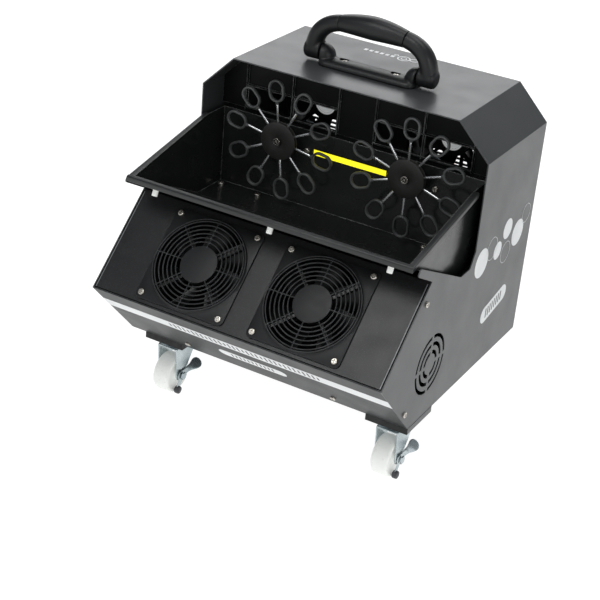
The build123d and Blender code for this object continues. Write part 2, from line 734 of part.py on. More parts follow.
# Casters
pads, plates = [], []
for (end, side_name), (x, hub_y) in caster_at.items():
    pad_low = foot_y if end == "front" else rear_y - pad_length
    pad_x = pad_mid_x[end, side_name]
    low = (pad_x - pad_width / 2, pad_low, pad_low_z)
    pads.append(block(low, (pad_x + pad_width / 2, pad_low + pad_length, base_z)))
    with BuildPart() as plate:
        low = (x - 19, hub_y - 24, plate_low_z)
        add(block(low, (x + 19, hub_y + 24, pad_low_z)))
        add(rod((x, hub_y, fork_high_z + 0.3), (0, 0, 1), 16.5, 8.8))
        add(rod((x, hub_y, 60.0), (0, 0, 1), kingpin_r, 10))
        add(rod((x, hub_y, 59.7), (0, 0, 1), 8.0, 3.0))
    plates.append(plate.part)
    axle_y = hub_y - trail
    braked = end == "front"
    with BuildPart() as fork:
        low = (x - fork_half_w, hub_y - 26, fork_low_z)
        add(block(low, (x + fork_half_w, hub_y + 16, fork_high_z)))
        cheek = [
            (hub_y - 26, fork_high_z),
            (hub_y + 16, fork_high_z),
            (hub_y + 13, 52),
            (axle_y + 8, 24),
            (axle_y + 5, 18.5),
            (axle_y - 5, 18.5),
            (axle_y - 8, 24),
            (hub_y - 25, 56),
        ]
        for low_x in (x - fork_half_w, x + fork_half_w - cheek_t):
            add(side_prism(cheek, low_x, low_x + cheek_t))
        reach = 20.7 if braked else 16.9
        add(rod((x - 16.6, axle_y, caster_r), (1, 0, 0), axle_r, 16.6 + reach))
        add(rod((x - 16.9, axle_y, caster_r), (1, 0, 0), 5.5, 2.5))
        add(rod((x + reach - 2.5, axle_y, caster_r), (1, 0, 0), 5.5, 2.5))
        kingpin = rod((x, hub_y, 58), (0, 0, 1), kingpin_r + running, 9)
        add(kingpin, mode=Mode.SUBTRACT)
    save(fork.part, f"caster_fork_{end}_{side_name}")
    with BuildPart(Plane(origin=(x, axle_y, caster_r), z_dir=(1, 0, 0))) as roller:
        Cylinder(caster_r, 2 * caster_half_w)
        fillet(roller.edges(), 3.5)
        Cylinder(8, 2 * fork_half_w - 2 * cheek_t - 1)
        Cylinder(axle_r + running, 40, mode=Mode.SUBTRACT)
    save(roller.part, f"caster_wheel_{end}_{side_name}")
    if braked:
        with BuildPart() as lever:
            near_x = x + lever_x
            add(rod((near_x, axle_y, caster_r), (1, 0, 0), 7.0, lever_t))
            arm = [(axle_y - 4, 25), (axle_y + 4, 25), (axle_y + 2, 6), (axle_y - 4, 6)]
            add(side_prism(arm, near_x, near_x + lever_t))
            pedal = [
                (axle_y + 2, 19.5),
                (axle_y + 20, 19.5),
                (axle_y + 20, 27.5),
                (axle_y, 31),
            ]
            add(side_prism(pedal, near_x, near_x + lever_t))
            low = (near_x, axle_y + 18, 19.5)
            add(block(low, (near_x + 5.4, axle_y + 20, 27.5)))
            low = (near_x + 3.4, axle_y + 19, 20.5)
            add(block(low, (near_x + 5.4, axle_y + 31, 27.5)))
            add(rod((near_x + 3.4, axle_y + 32, 25), (1, 0, 0), 6.0, lever_t))
            add(rod((near_x - 2.4, axle_y - 1, 6.2), (1, 0, 0), 4.6, 6.4))
            bore = rod((x + 10, axle_y, caster_r), (1, 0, 0), axle_r + running, 12)
            add(bore, mode=Mode.SUBTRACT)
        save(lever.part, f"brake_lever_{side_name}")
save(group(pads), "caster_pads")
save(group(plates), "caster_plates")

# Case screws
case_planes = []
for y, z in side_screws:
    case_planes.append(Plane(origin=(half_width, y, z), x_dir=(0, 1, 0), z_dir=(1, 0, 0)))
    case_planes.append(Plane(origin=(-half_width, y, z), x_dir=(0, 1, 0), z_dir=(-1, 0, 0)))
for x, t in strip_screws:
    seat = strip_face.from_local_coords((x, -t, 0))
    case_planes.append(Plane(origin=seat, x_dir=(1, 0, 0), z_dir=strip_face.z_dir))
for x, z in rear_screws:
    case_planes.append(Plane(origin=(x, rear_y, z), x_dir=(1, 0, 0), z_dir=(0, 1, 0)))
save(group([pan_screw(p, 3.6, 2.2, 1.75, 5.0) for p in case_planes]), "case_screws")
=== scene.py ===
from math import cos, hypot, pi, radians, sin, sqrt

import bmesh
import bpy
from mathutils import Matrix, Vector


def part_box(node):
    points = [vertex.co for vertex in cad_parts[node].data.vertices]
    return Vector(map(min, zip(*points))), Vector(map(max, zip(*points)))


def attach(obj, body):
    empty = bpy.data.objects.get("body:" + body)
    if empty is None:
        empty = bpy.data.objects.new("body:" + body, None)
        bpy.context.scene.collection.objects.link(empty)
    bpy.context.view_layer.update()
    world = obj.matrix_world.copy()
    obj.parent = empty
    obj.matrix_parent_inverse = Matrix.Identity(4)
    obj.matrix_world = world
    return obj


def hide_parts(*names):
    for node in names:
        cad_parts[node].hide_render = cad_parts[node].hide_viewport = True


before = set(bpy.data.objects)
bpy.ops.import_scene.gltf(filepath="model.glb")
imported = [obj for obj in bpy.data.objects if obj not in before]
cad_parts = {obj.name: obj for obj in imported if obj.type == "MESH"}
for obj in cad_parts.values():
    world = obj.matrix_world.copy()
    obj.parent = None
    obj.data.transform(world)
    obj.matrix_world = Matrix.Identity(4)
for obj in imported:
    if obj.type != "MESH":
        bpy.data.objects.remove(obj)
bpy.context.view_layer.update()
MM = 0.001
SIDES = {"left": -1, "right": 1}


# ---------------------------------------------------------------- mesh helpers
# Shapes are drawn in millimetres in the part's frame and stored in metres.


def place(origin, x_dir, z_dir):
    """Maps local points to the part's frame."""
    x = Vector(x_dir).normalized()
    z = Vector(z_dir).normalized()
    y = z.cross(x)
    start = Vector(origin)
    return lambda p: start + x * p[0] + y * p[1] + z * p[2]


class Shape:
    """Points and faces of one piece, built from rows of points."""

    def __init__(self, where=Vector):
        self.where = where
        self.points = []
        self.faces = []

    def rows(self, rows, loop=False):
        """Skins closed rows of equal length; loop joins the ends, or else they are capped."""
        first = len(self.points)
        n = len(rows[0])
        for row in rows:
            self.points += [self.where(p) for p in row]
        for i in range(len(rows) if loop else len(rows) - 1):
            a = first + i * n
            b = first + ((i + 1) % len(rows)) * n
            for j in range(n):
                k = (j + 1) % n
                self.faces.append((a + j, a + k, b + k, b + j))
        if not loop:
            last = first + (len(rows) - 1) * n
            self.faces.append(tuple(first + j for j in reversed(range(n))))
            self.faces.append(tuple(last + j for j in range(n)))
        return self

    def lathe(self, profile, steps=48, loop=False):
        """Turns (radius, height) points about local Z."""
        turn = [2 * pi * i / steps for i in range(steps)]
        rows = [[(r * cos(a), r * sin(a), h) for a in turn] for r, h in profile]
        return self.rows(rows, loop=loop)

    def sweep(self, path, section, rib=0.0):
        """Carries (out, up) section points round a closed flat path of (x, y, nx, ny)."""
        rows = []
        for i, (x, y, nx, ny) in enumerate(path):
            lift = rib if i % 2 else 0.0
            row = []
            for out, up in section:
                reach = out + lift if out < -0.5 else out
                row.append((x + nx * reach, y + ny * reach, up))
            rows.append(row)
        return self.rows(rows, loop=True)

    def plate(self, outline, low, high, bevel=0.3):
        """Flat plate between two heights with softened edges."""
        small = inset(outline, bevel)
        layers = ((small, low), (outline, low + bevel), (outline, high - bevel), (small, high))
        return self.rows([[(x, y, h) for x, y in line] for line, h in layers])

    def piece(self, name, material, body, slot, replaces=(), sharp=38, modify=None):
        """Turns the shape into a named object that rides on a body."""
        mesh = bpy.data.meshes.new(name)
        mesh.from_pydata([Vector(p) * MM for p in self.points], [], self.faces)
        bm = bmesh.new()
        bm.from_mesh(mesh)
        bmesh.ops.remove_doubles(bm, verts=bm.verts, dist=2e-6)
        bmesh.ops.recalc_face_normals(bm, faces=bm.faces)
        bm.to_mesh(mesh)
        bm.free()
        obj = bpy.data.objects.new(name, mesh)
        bpy.context.scene.collection.objects.link(obj)
        if modify:
            modify(obj)
            bake_modifiers(obj)
        obj.data.materials.clear()
        obj.data.materials.append(material)
        shade(obj.data, sharp)
        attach(obj, body)
        if replaces:
            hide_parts(*replaces)
        return obj


def join(made, part, where=None):
    """Adds a part to a shape, moved by where if it is given."""
    count = len(made.points)
    made.points += [where(p) for p in part.points] if where else part.points
    made.faces += [tuple(i + count for i in f) for f in part.faces]


def shade(mesh, sharp):
    """Smooth shading that leaves large flat faces flat."""
    mesh.shade_smooth()
    for face in mesh.polygons:
        if len(face.vertices) > 4 or face.area > 3e-4:
            face.use_smooth = False
    mesh.set_sharp_from_angle(angle=radians(sharp))


def bake_modifiers(obj):
    """Replaces an object's mesh with the result of its modifiers."""
    bpy.context.view_layer.update()
    graph = bpy.context.evaluated_depsgraph_get()
    done = bpy.data.meshes.new_from_object(obj.evaluated_get(graph))
    obj.modifiers.clear()
    obj.data = done


def cutting_object(shape):
    """Scratch object for a boolean modifier to cut with."""
    mesh = bpy.data.meshes.new("cut")
    mesh.from_pydata([p * MM for p in shape.points], [], shape.faces)
    obj = bpy.data.objects.new("cut", mesh)
    bpy.context.scene.collection.objects.link(obj)
    return obj


def take_away(obj, cutter):
    """Adds a boolean that cuts a scratch object out of a piece."""
    cut = obj.modifiers.new("hole", "BOOLEAN")
    cut.object = cutter
    cut.solver = "EXACT"


def inset(outline, d):
    """Moves a counter-clockwise outline inwards by d."""
    moved = []
    n = len(outline)
    for i, (x, y) in enumerate(outline):
        px, py = outline[i - 1]
        qx, qy = outline[(i + 1) % n]
        a = Vector((x - px, y - py)).normalized()
        b = Vector((qx - x, qy - y)).normalized()
        mitre = Vector((-a.y - b.y, a.x + b.x))
        scale = 2 * d / max(mitre.length_squared, 0.4)
        moved.append((x + mitre.x * scale, y + mitre.y * scale))
    return moved


def rounded(corners, radius, steps=5):
    """Rounds a polygon's corners; radius is one number or one for each corner."""
    n = len(corners)
    radii = radius if isinstance(radius, (list, tuple)) else [radius] * n
    line = []
    for i in range(n):
        c = Vector(corners[i])
        a = Vector(corners[i - 1]) - c
        b = Vector(corners[(i + 1) % n]) - c
        cut = min(radii[i], 0.45 * a.length, 0.45 * b.length)
        p, q = c + a.normalized() * cut, c + b.normalized() * cut
        for k in range(steps + 1):
            t = k / steps
            spot = p * (1 - t) ** 2 + c * 2 * t * (1 - t) + q * t**2
            line.append((spot.x, spot.y))
    return line


def rectangle(cx, cy, w, h, radius=0.0):
    """Outline of a rectangle about a middle point."""
    corners = [
        (cx - w / 2, cy - h / 2),
        (cx + w / 2, cy - h / 2),
        (cx + w / 2, cy + h / 2),
        (cx - w / 2, cy + h / 2),
    ]
    return rounded(corners, radius) if radius else corners


def circle(cx, cy, r, steps=56):
    """Outline of a circle about a middle point."""
    turn = [2 * pi * i / steps for i in range(steps)]
    return [(cx + r * cos(a), cy + r * sin(a)) for a in turn]


def stadium(cx, cy, length, width, angle=0.0, steps=40):
    """Outline of a slot with round ends, longest along a direction in degrees."""
    r = width / 2
    half = length / 2 - r
    c, s = cos(radians(angle)), sin(radians(angle))
    line = []
    for i in range(steps):
        a = 2 * pi * (i + 0.5) / steps
        x = r * cos(a) + (half if cos(a) > 0 else -half)
        y = r * sin(a)
        line.append((cx + x * c - y * s, cy + x * s + y * c))
    return line


def oval(a, b, power=2.0, steps=28):
    """Superellipse section points."""
    line = []
    for i in range(steps):
        t = 2 * pi * i / steps
        x = abs(cos(t)) ** (2 / power) * (1 if cos(t) >= 0 else -1)
        y = abs(sin(t)) ** (2 / power) * (1 if sin(t) >= 0 else -1)
        line.append((a * x, b * y))
    return line


# ------------------------------------------------------------------- materials


def tone(code):
    """Linear colour from an sRGB hex code."""
    parts = [int(code[i : i + 2], 16) / 255 for i in (1, 3, 5)]
    line = [c / 12.92 if c <= 0.04045 else ((c + 0.055) / 1.055) ** 2.4 for c in parts]
    return (*line, 1.0)


class Finish:
    """A node material with colour variation, grain, roughness and lightened edges, painted as wear and,
    on several finishes, as highlight.
    """

    def __init__(self, name, dark, light, patch=14.0, rough=(0.35, 0.45), **sockets):
        self.material = bpy.data.materials.new(name)
        self.material.use_nodes = True
        self.tree = self.material.node_tree
        self.tree.nodes.clear()
        out = self.node("ShaderNodeOutputMaterial")
        self.shader = self.node("ShaderNodeBsdfPrincipled")
        self.link(self.shader.outputs[0], out.inputs[0])
        self.coord = self.node("ShaderNodeTexCoord").outputs["Object"]
        cloud = self.noise(patch, 4.0)
        self.colour = self.mix(self.ramp(cloud, 0.35, 0.65), tone(dark), tone(light))
        smear = self.noise(patch * 5.3, 3.0)
        self.rough = self.ramp(smear, 0.3, 0.7, *rough)
        self.normal = None
        for socket, value in sockets.items():
            self.shader.inputs[socket.replace("_", " ")].default_value = value

    def node(self, kind, **settings):
        made = self.tree.nodes.new(kind)
        for key, value in settings.items():
            setattr(made, key, value)
        return made

    def link(self, a, b):
        self.tree.links.new(a, b)

    def feed(self, socket, value):
        if isinstance(value, bpy.types.NodeSocket):
            self.link(value, socket)
        else:
            socket.default_value = value

    def noise(self, scale, detail=2.0, stretch=None):
        vector = self.coord
        if stretch:
            mapping = self.node("ShaderNodeMapping")
            self.link(vector, mapping.inputs["Vector"])
            mapping.inputs["Scale"].default_value = stretch
            vector = mapping.outputs[0]
        made = self.node("ShaderNodeTexNoise")
        self.link(vector, made.inputs["Vector"])
        made.inputs["Scale"].default_value = scale
        made.inputs["Detail"].default_value = detail
        return made.outputs["Fac"]

    def ramp(self, value, low, high, a=0.0, b=1.0):
        made = self.node("ShaderNodeMapRange")
        self.feed(made.inputs["Value"], value)
        made.inputs["From Min"].default_value = low
        made.inputs["From Max"].default_value = high
        made.inputs["To Min"].default_value = a
        made.inputs["To Max"].default_value = b
        return made.outputs[0]

    def maths(self, operation, a, b=0.0):
        made = self.node("ShaderNodeMath", operation=operation)
        self.feed(made.inputs[0], a)
        self.feed(made.inputs[1], b)
        return made.outputs[0]

    def mix(self, factor, a, b):
        made = self.node("ShaderNodeMix", data_type="RGBA")
        self.feed(made.inputs[0], factor)
        self.feed(made.inputs[6], a)
        self.feed(made.inputs[7], b)
        return made.outputs[2]

    def place_of(self):
        """X, Y and Z of the point being shaded."""
        made = self.node("ShaderNodeSeparateXYZ")
        self.link(self.coord, made.inputs[0])
        return made.outputs

    def grain(self, scale, height, detail=2.0):
        """Fine relief, with its height in metres."""
        bump = self.node("ShaderNodeBump")
        bump.inputs["Distance"].default_value = height
        bump.inputs["Strength"].default_value = 1.0
        self.link(self.noise(scale, detail), bump.inputs["Height"])
        if self.normal is not None:
            self.link(self.normal, bump.inputs["Normal"])
        self.normal = bump.outputs[0]
        return self

    def edges(self, radius, wear_and_highlight=None, amount=0.6, shine=0.3, start=0.97):
        """Softens hard edges and lightens their colour, which stands for wear and, on several finishes,
        is a painted highlight along edges and creases.
        """
        bevel = self.node("ShaderNodeBevel", samples=4)
        bevel.inputs["Radius"].default_value = radius
        self.normal = bevel.outputs[0]
        if wear_and_highlight:
            shape = self.node("ShaderNodeNewGeometry")
            dot = self.node("ShaderNodeVectorMath", operation="DOT_PRODUCT")
            self.link(bevel.outputs[0], dot.inputs[0])
            self.link(shape.outputs["Normal"], dot.inputs[1])
            near = self.ramp(dot.outputs["Value"], start, start - 0.17)
            patchy = self.ramp(self.noise(90.0, 3.0), 0.35, 0.6, 0.25, 1.0)
            rub_and_highlight = self.maths("MULTIPLY", near, self.maths("MULTIPLY", patchy, amount))
            # lighter colour along edges and creases: wear, and with a light colour a painted highlight
            self.colour = self.mix(rub_and_highlight, self.colour, tone(wear_and_highlight))
            blend = self.node("ShaderNodeMix", data_type="FLOAT")
            self.feed(blend.inputs[0], rub_and_highlight)
            self.feed(blend.inputs[2], self.rough)
            blend.inputs[3].default_value = shine
            self.rough = blend.outputs[0]
        return self

    def speckle(self, scale, colour, low, high, amount=1.0):
        """Sparse flecks, such as dust or the sparkle of a coating."""
        flecks = self.maths("MULTIPLY", self.ramp(self.noise(scale, 1.0), low, high), amount)
        self.colour = self.mix(flecks, self.colour, tone(colour))
        return self

    def glow(self, colour, strength):
        """Adds the same emission all over the surface."""
        self.shader.inputs["Emission Color"].default_value = colour
        self.shader.inputs["Emission Strength"].default_value = strength

    def done(self):
        """Links the finished colour, roughness and normal to the shader."""
        self.feed(self.shader.inputs["Base Color"], self.colour)
        self.feed(self.shader.inputs["Roughness"], self.rough)
        if self.normal is not None:
            self.link(self.normal, self.shader.inputs["Normal"])
        return self.material


powder = (
    Finish("satin_powder_coat", "#383a3b", "#3e4041", 5.0, (0.30, 0.38), Specular_IOR_Level=0.46)
    .edges(0.0009, "#8c8f90", 0.5)
    .grain(1500.0, 0.00004)
    .speckle(2600.0, "#5a5c5e", 0.66, 0.76, 0.5)
    .done()
)
pan_coat = (
    Finish("pan_powder_coat", "#272929", "#2c2e2f", 5.0, (0.34, 0.42), Specular_IOR_Level=0.18)
    .edges(0.0009, "#8c8f90", 0.5)
    .grain(1500.0, 0.00004)
    .speckle(2600.0, "#505254", 0.66, 0.76, 0.5)
    .done()
)
textured = (
    Finish("textured_black_paint", "#0b0c0d", "#101112", 6.0, (0.30, 0.38), Specular_IOR_Level=0.42)
    .edges(0.0008, "#6e7072", 0.5)
    .grain(1400.0, 0.00012)
    .speckle(1500.0, "#47484c", 0.62, 0.74, 0.8)
    .done()
)
gloss = (
    Finish("black_gloss_tray", "#0d0f0e", "#131514", 7.0, (0.16, 0.28))
    .edges(0.0008, "#4b4d4c", 0.7)
    .grain(220.0, 0.00004, 3.0)
    .speckle(900.0, "#2a2c2b", 0.7, 0.8, 0.5)
    .done()
)
# the light edge colour paints highlights along the tray's folds and creases
tray_gloss = (
    Finish("folded_gloss_tray", "#191b1a", "#202221", 7.0, (0.18, 0.30))
    .edges(0.0013, "#808281", 0.9, start=0.995)
    .grain(220.0, 0.00004, 3.0)
    .speckle(900.0, "#2a2c2b", 0.7, 0.8, 0.5)
    .done()
)
rim_paint = (
    Finish("rim_gloss_paint", "#1b1d1d", "#242626", 9.0, (0.3, 0.42))
    .edges(0.0008, "#8f9191", 0.8)
    .grain(1200.0, 0.00003)
    .done()
)
# the pale edge colour paints highlights along the bulkhead's sheet and slot edges
slot_paint = (
    Finish("bulkhead_paint", "#0a0c0b", "#101211", 7.0, (0.40, 0.5), Specular_IOR_Level=0.12)
    .edges(0.0012, "#a0a2a1", 1.0)
    .grain(260.0, 0.00004, 3.0)
    .speckle(900.0, "#2a2c2b", 0.7, 0.8, 0.5)
    .done()
)
plastic = (
    Finish("black_moulded_plastic", "#0f1011", "#151617", 20.0, (0.28, 0.38))
    .edges(0.0005, "#3c3e40", 0.5)
    .grain(1800.0, 0.00003)
    .done()
)
# the light edge colour paints highlights along the guard's rings and ribs
guard_black = (
    Finish("guard_plastic", "#121314", "#18191a", 20.0, (0.38, 0.48), Specular_IOR_Level=0.32)
    .edges(0.0006, "#7c7e80", 0.8)
    .grain(1800.0, 0.00003)
    .done()
)
disc_black = (
    Finish("wheel_disc_plastic", "#181816", "#20201d", 24.0, (0.45, 0.6))
    .edges(0.0006, "#43433f", 0.5)
    .grain(1400.0, 0.00004)
    .done()
)
handle_black = (
    Finish("handle_soft_plastic", "#0f1011", "#161718", 16.0, (0.34, 0.44), Specular_IOR_Level=0.36)
    .edges(0.0006, "#3a3c3f", 0.4)
    .grain(1300.0, 0.00005)
    .speckle(1900.0, "#2b2d30", 0.62, 0.74, 0.5)
    .done()
)
# the pale edge colour paints highlights along the edges of the wand rings
wand_grey = (
    Finish("wand_grey_plastic", "#3a3c3c", "#4a4c4c", 40.0, (0.34, 0.46))
    .edges(0.0006, "#9c9e9e", 0.9)
    .grain(900.0, 0.00005)
    .done()
)
spoke_steel = (
    Finish("brushed_spoke_steel", "#c9cbcc", "#dfe1e2", 30.0, (0.20, 0.28), Metallic=0.9)
    .edges(0.0003)
    .grain(700.0, 0.00001, 2.0)
    .done()
)
zinc = (
    Finish("zinc_plated_steel", "#9aa7ab", "#c6cfd2", 26.0, (0.20, 0.32), Metallic=0.8)
    .edges(0.0006, "#eef3f4", 0.8, 0.2)
    .grain(420.0, 0.00001, 2.0)
    .done()
)
screw_metal = (
    Finish("nickel_screw", "#aaa59c", "#d2cec6", 120.0, (0.18, 0.32), Metallic=1.0)
    .edges(0.0003, "#eeeae2", 0.6, 0.2)
    .grain(1500.0, 0.00002)
    .done()
)
# the weak emission is painted light: it lifts the shaded sides of the wheels, in place of light scattered
# inside the nylon
nylon = (
    Finish(
        "white_nylon", "#dbddd9", "#e0e1dd", 30.0, (0.36, 0.5),
        Subsurface_Weight=0.35, Subsurface_Scale=0.004, Subsurface_Radius=(1.0, 1.0, 1.0),
        Emission_Color=(0.92, 0.95, 0.92, 1.0), Emission_Strength=0.2,
    )
    .edges(0.0006)
    .grain(800.0, 0.00003)
    .speckle(260.0, "#c2c3ba", 0.62, 0.75, 0.5)
    .done()
)
rubber = (
    Finish("black_rubber", "#0c0d0d", "#151616", 25.0, (0.6, 0.75))
    .edges(0.0007, "#2e2f2f", 0.6, 0.7)
    .grain(1100.0, 0.00008)
    .done()
)
tip_rubber = (
    Finish("lever_tip_rubber", "#35363a", "#44464a", 40.0, (0.4, 0.55))
    .edges(0.0008, "#8a8c90", 0.8)
    .grain(1100.0, 0.00006)
    .done()
)
# near-black strips where the panel meets the case: painted shadow in the joint
joint_shadow_paint = (
    Finish("joint_shadow", "#020202", "#040404", 30.0, (0.8, 0.9), Specular_IOR_Level=0.05)
    .grain(900.0, 0.00002)
    .done()
)
# light strips along the panel's side folds: painted highlight
fold_highlight_paint = (
    Finish("painted_fold_highlight", "#626466", "#77797b", 14.0, (0.3, 0.4))
    .grain(1200.0, 0.00003)
    .done()
)
vinyl = (
    Finish("white_print", "#dbddde", "#e4e6e6", 30.0, (0.38, 0.5))
    .grain(1500.0, 0.00002)
    .speckle(700.0, "#b5b7b6", 0.66, 0.78, 0.5)
    .done()
)
dark_print = (
    Finish("dark_print", "#3c3e3f", "#464849", 30.0, (0.4, 0.5))
    .grain(1500.0, 0.00002)
    .done()
)
board = (
    Finish("green_board", "#1d5b3a", "#2a7549", 60.0, (0.4, 0.55))
    .edges(0.0005)
    .speckle(420.0, "#c9b06a", 0.66, 0.7, 0.8)
    .grain(600.0, 0.00005)
    .done()
)


def printed_yellow():
    """Yellow label with a broken row of plain printed dashes."""
    made = Finish("yellow_label", "#e2da10", "#efe62a", 60.0, (0.3, 0.42))
    x, _, z = made.place_of()
    dash = made.maths("GREATER_THAN", made.maths("FRACT", made.maths("MULTIPLY", x, 230.0)), 0.42)
    broken = made.maths("GREATER_THAN", made.noise(210.0, 0.0, stretch=(1.0, 0.01, 0.01)), 0.45)
    low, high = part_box("level_label")
    off = made.maths("ABSOLUTE", made.maths("SUBTRACT", z, (low.z + high.z) / 2))
    line = made.maths("LESS_THAN", off, 0.0011)
    mid = made.maths("ABSOLUTE", made.maths("SUBTRACT", x, (low.x + high.x) / 2))
    inside = made.maths("LESS_THAN", mid, 0.036)
    marks = made.maths("MULTIPLY", dash, broken)
    mask = made.maths("MULTIPLY", marks, made.maths("MULTIPLY", line, inside))
    made.colour = made.mix(made.maths("MULTIPLY", mask, 0.85), made.colour, tone("#2a2a18"))
    # strong emission paints light on the label, so that it reads bright in the shaded tray
    made.glow((0.80, 0.72, 0.02, 1.0), 1.15)
    return made.grain(900.0, 0.00002).done()


def hub_sticker():
    """Pale round fan label with a ring of ticks and a plain printed bar."""
    made = Finish("fan_hub_label", "#b4b6b6", "#c6c8c8", 60.0, (0.3, 0.4))
    mapping = made.node("ShaderNodeTexCoord").outputs["Generated"]
    parts = made.node("ShaderNodeSeparateXYZ")
    made.link(mapping, parts.inputs[0])
    dx = made.maths("SUBTRACT", parts.outputs["X"], 0.5)
    dz = made.maths("SUBTRACT", parts.outputs["Z"], 0.5)
    square = made.maths("ADD", made.maths("MULTIPLY", dx, dx), made.maths("MULTIPLY", dz, dz))
    r = made.maths("SQRT", square)
    rim = made.maths("LESS_THAN", made.maths("ABSOLUTE", made.maths("SUBTRACT", r, 0.42)), 0.018)
    angle = made.maths("ARCTAN2", dz, dx)
    tick = made.maths("GREATER_THAN", made.maths("SINE", made.maths("MULTIPLY", angle, 34.0)), 0.1)
    band = made.maths("LESS_THAN", made.maths("ABSOLUTE", made.maths("SUBTRACT", dz, -0.16)), 0.05)
    near = made.maths("LESS_THAN", made.maths("ABSOLUTE", dx), 0.2)
    ink = made.maths("MAXIMUM", made.maths("MULTIPLY", rim, tick), made.maths("MULTIPLY", band, near))
    made.colour = made.mix(made.maths("MULTIPLY", ink, 0.7), made.colour, tone("#4a4c4c"))
    # emission paints light on the label, which sits in shade behind the fan blades
    made.glow((0.8, 0.82, 0.82, 1.0), 0.32)
    return made.grain(900.0, 0.00002).done()


yellow = printed_yellow()
hub_label = hub_sticker()

# ------------------------------------------------- finishes of the kept CAD nodes
kept = {
    "outer_cover": powder,
    "base_pan": pan_coat,
    "rear_panel": powder,
    "fan_panel": textured,
    "bulkhead": slot_paint,
    "control_board": board,
    "level_label": yellow,
    "caster_pads": rubber,
    "tray_feet": nylon,
    "remote_socket": zinc,
}
for name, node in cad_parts.items():
    finish = kept.get(name)
    if finish is None and name.endswith("_screws"):
        finish = screw_metal
    if finish is None and name.startswith("wheel_shaft"):
        finish = disc_black
    if finish is None and name.startswith("gear_motor"):
        finish = zinc
    node.data.materials.clear()
    node.data.materials.append(finish or plastic)

# --------------------------------------------------------------------- camera
# solved together with the case, from the fans' screw squares, the case corners and the tray
scene = bpy.context.scene
camera_data = bpy.data.cameras.new("camera")
camera_data.lens = 90.79
camera_data.sensor_width = 36.0
camera = bpy.data.objects.new("camera", camera_data)
camera.location = (0.75372, -1.45179, 1.00240)
camera.rotation_euler = [radians(a) for a in (62.071, -4.542, 30.432)]
scene.collection.objects.link(camera)
scene.camera = camera

# ----------------------------------------------------------- tray and its rim
HALF = 178.0  # to each side wall
WALL = 55.0  # y of the back wall
FLOOR = 231.5  # z of the floor
FOLD = 2.0  # y where the floor meets the ramp
LIP_Y = -131.0  # y of the front wall
LIP_Z = 293.5  # top of the ramp
FRONT_Z = 298.5  # rim along the front
REAR_Z = 331.0  # rim at the back
RIM_Y = 18.0  # y where the side walls reach full height
TRAY_SHEET = 1.2
WHEEL_X = 87.0  # bubble wheel axis
WHEEL_Z = 315.0


def tray_pan():
    """Inner faces of the tray as one open sheet."""
    bm = bmesh.new()
    rows = []
    line = [(WALL, REAR_Z), (WALL, FLOOR), (FOLD, FLOOR), (LIP_Y, LIP_Z), (LIP_Y, FRONT_Z)]
    for x in (-HALF, HALF):
        rows.append([bm.verts.new(Vector((x, y, z)) * MM) for y, z in line])
    for i in range(len(line) - 1):
        bm.faces.new((rows[0][i], rows[1][i], rows[1][i + 1], rows[0][i + 1]))
    for row, x in zip(rows, (-HALF, HALF)):
        corner = bm.verts.new(Vector((x, RIM_Y, REAR_Z)) * MM)
        bm.faces.new([*row, corner])
    bmesh.ops.recalc_face_normals(bm, faces=bm.faces)
    mesh = bpy.data.meshes.new("tray_pan")
    bm.to_mesh(mesh)
    bm.free()
    return mesh


def add_tray():
    """Tray pan with its shaft holes, turned-down rim and rear ledge."""
    pan = bpy.data.objects.new("tray_pan", tray_pan())
    scene.collection.objects.link(pan)
    middle = sum((v.co for v in pan.data.vertices), Vector()) / len(pan.data.vertices)
    wall = min(pan.data.polygons, key=lambda p: (p.center - Vector((0, WALL, 290)) * MM).length)
    inward = wall.normal.dot(middle - wall.center) > 0
    solid = pan.modifiers.new("sheet", "SOLIDIFY")
    solid.thickness = TRAY_SHEET * MM
    solid.offset = -1.0 if inward else 1.0
    cutters = []
    for x in (-WHEEL_X, WHEEL_X):
        hole = Shape(place((x, WALL - 3, WHEEL_Z), (1, 0, 0), (0, 1, 0))).lathe([(5, 0), (5, 8)], 32)
        cutters.append(cutting_object(hole))
        take_away(pan, cutters[-1])
    bake_modifiers(pan)
    for cutter in cutters:
        bpy.data.objects.remove(cutter)
    pan.data.materials.clear()
    pan.data.materials.append(tray_gloss)
    shade(pan.data, 38)
    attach(pan, "case")
    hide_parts("tray")

    # rolled rim: distance out from the wall, height above it
    section = [
        (0.0, 0.0), (5.7, 0.0), (6.6, -0.25), (7.2, -0.8), (7.5, -1.7), (7.5, -5.7),
        (7.3, -6.4), (6.9, -6.6), (6.5, -6.4), (6.3, -5.7), (6.3, -1.9), (5.6, -1.2), (0.0, -1.2),
    ]
    rows = []
    corners = ((-1, RIM_Y + 2, REAR_Z), (-1, LIP_Y, FRONT_Z), (1, LIP_Y, FRONT_Z), (1, RIM_Y + 2, REAR_Z))
    for side, y, z in corners:
        front = y == LIP_Y
        rows.append([(side * (HALF + o), y - o if front else y, z + u) for o, u in section])
    Shape().rows(rows).piece("tray_rim", rim_paint, "case", "black_gloss_paint", sharp=50)

    ledge = Shape(place((0, WALL + 0.6, REAR_Z - TRAY_SHEET), (1, 0, 0), (0, 0, 1)))
    ledge.plate(rectangle(0, 11.4, 2 * (HALF + TRAY_SHEET), 22.6), 0.0, TRAY_SHEET, 0.35)
    ledge.piece("tray_ledge", gloss, "case", "black_gloss_paint")


add_tray()

# ---------------------------------------------------------- guards and rotors
NOSE = Vector((0, -192.5, 173.5))
CREST = Vector((0, -95.0, 267.0))
UP = (CREST - NOSE).normalized()
OUT = Vector((1, 0, 0)).cross(UP)
FRONT_FAN_X = 75.0
FRONT_FAN_UP = 66.6  # along the panel from the nose
REAR_FAN_X = 89.0
REAR_FAN_Y = 153.0
REAR_FAN_Z = 329.0
GUARD_HALF = 59.5
BLADES = 7


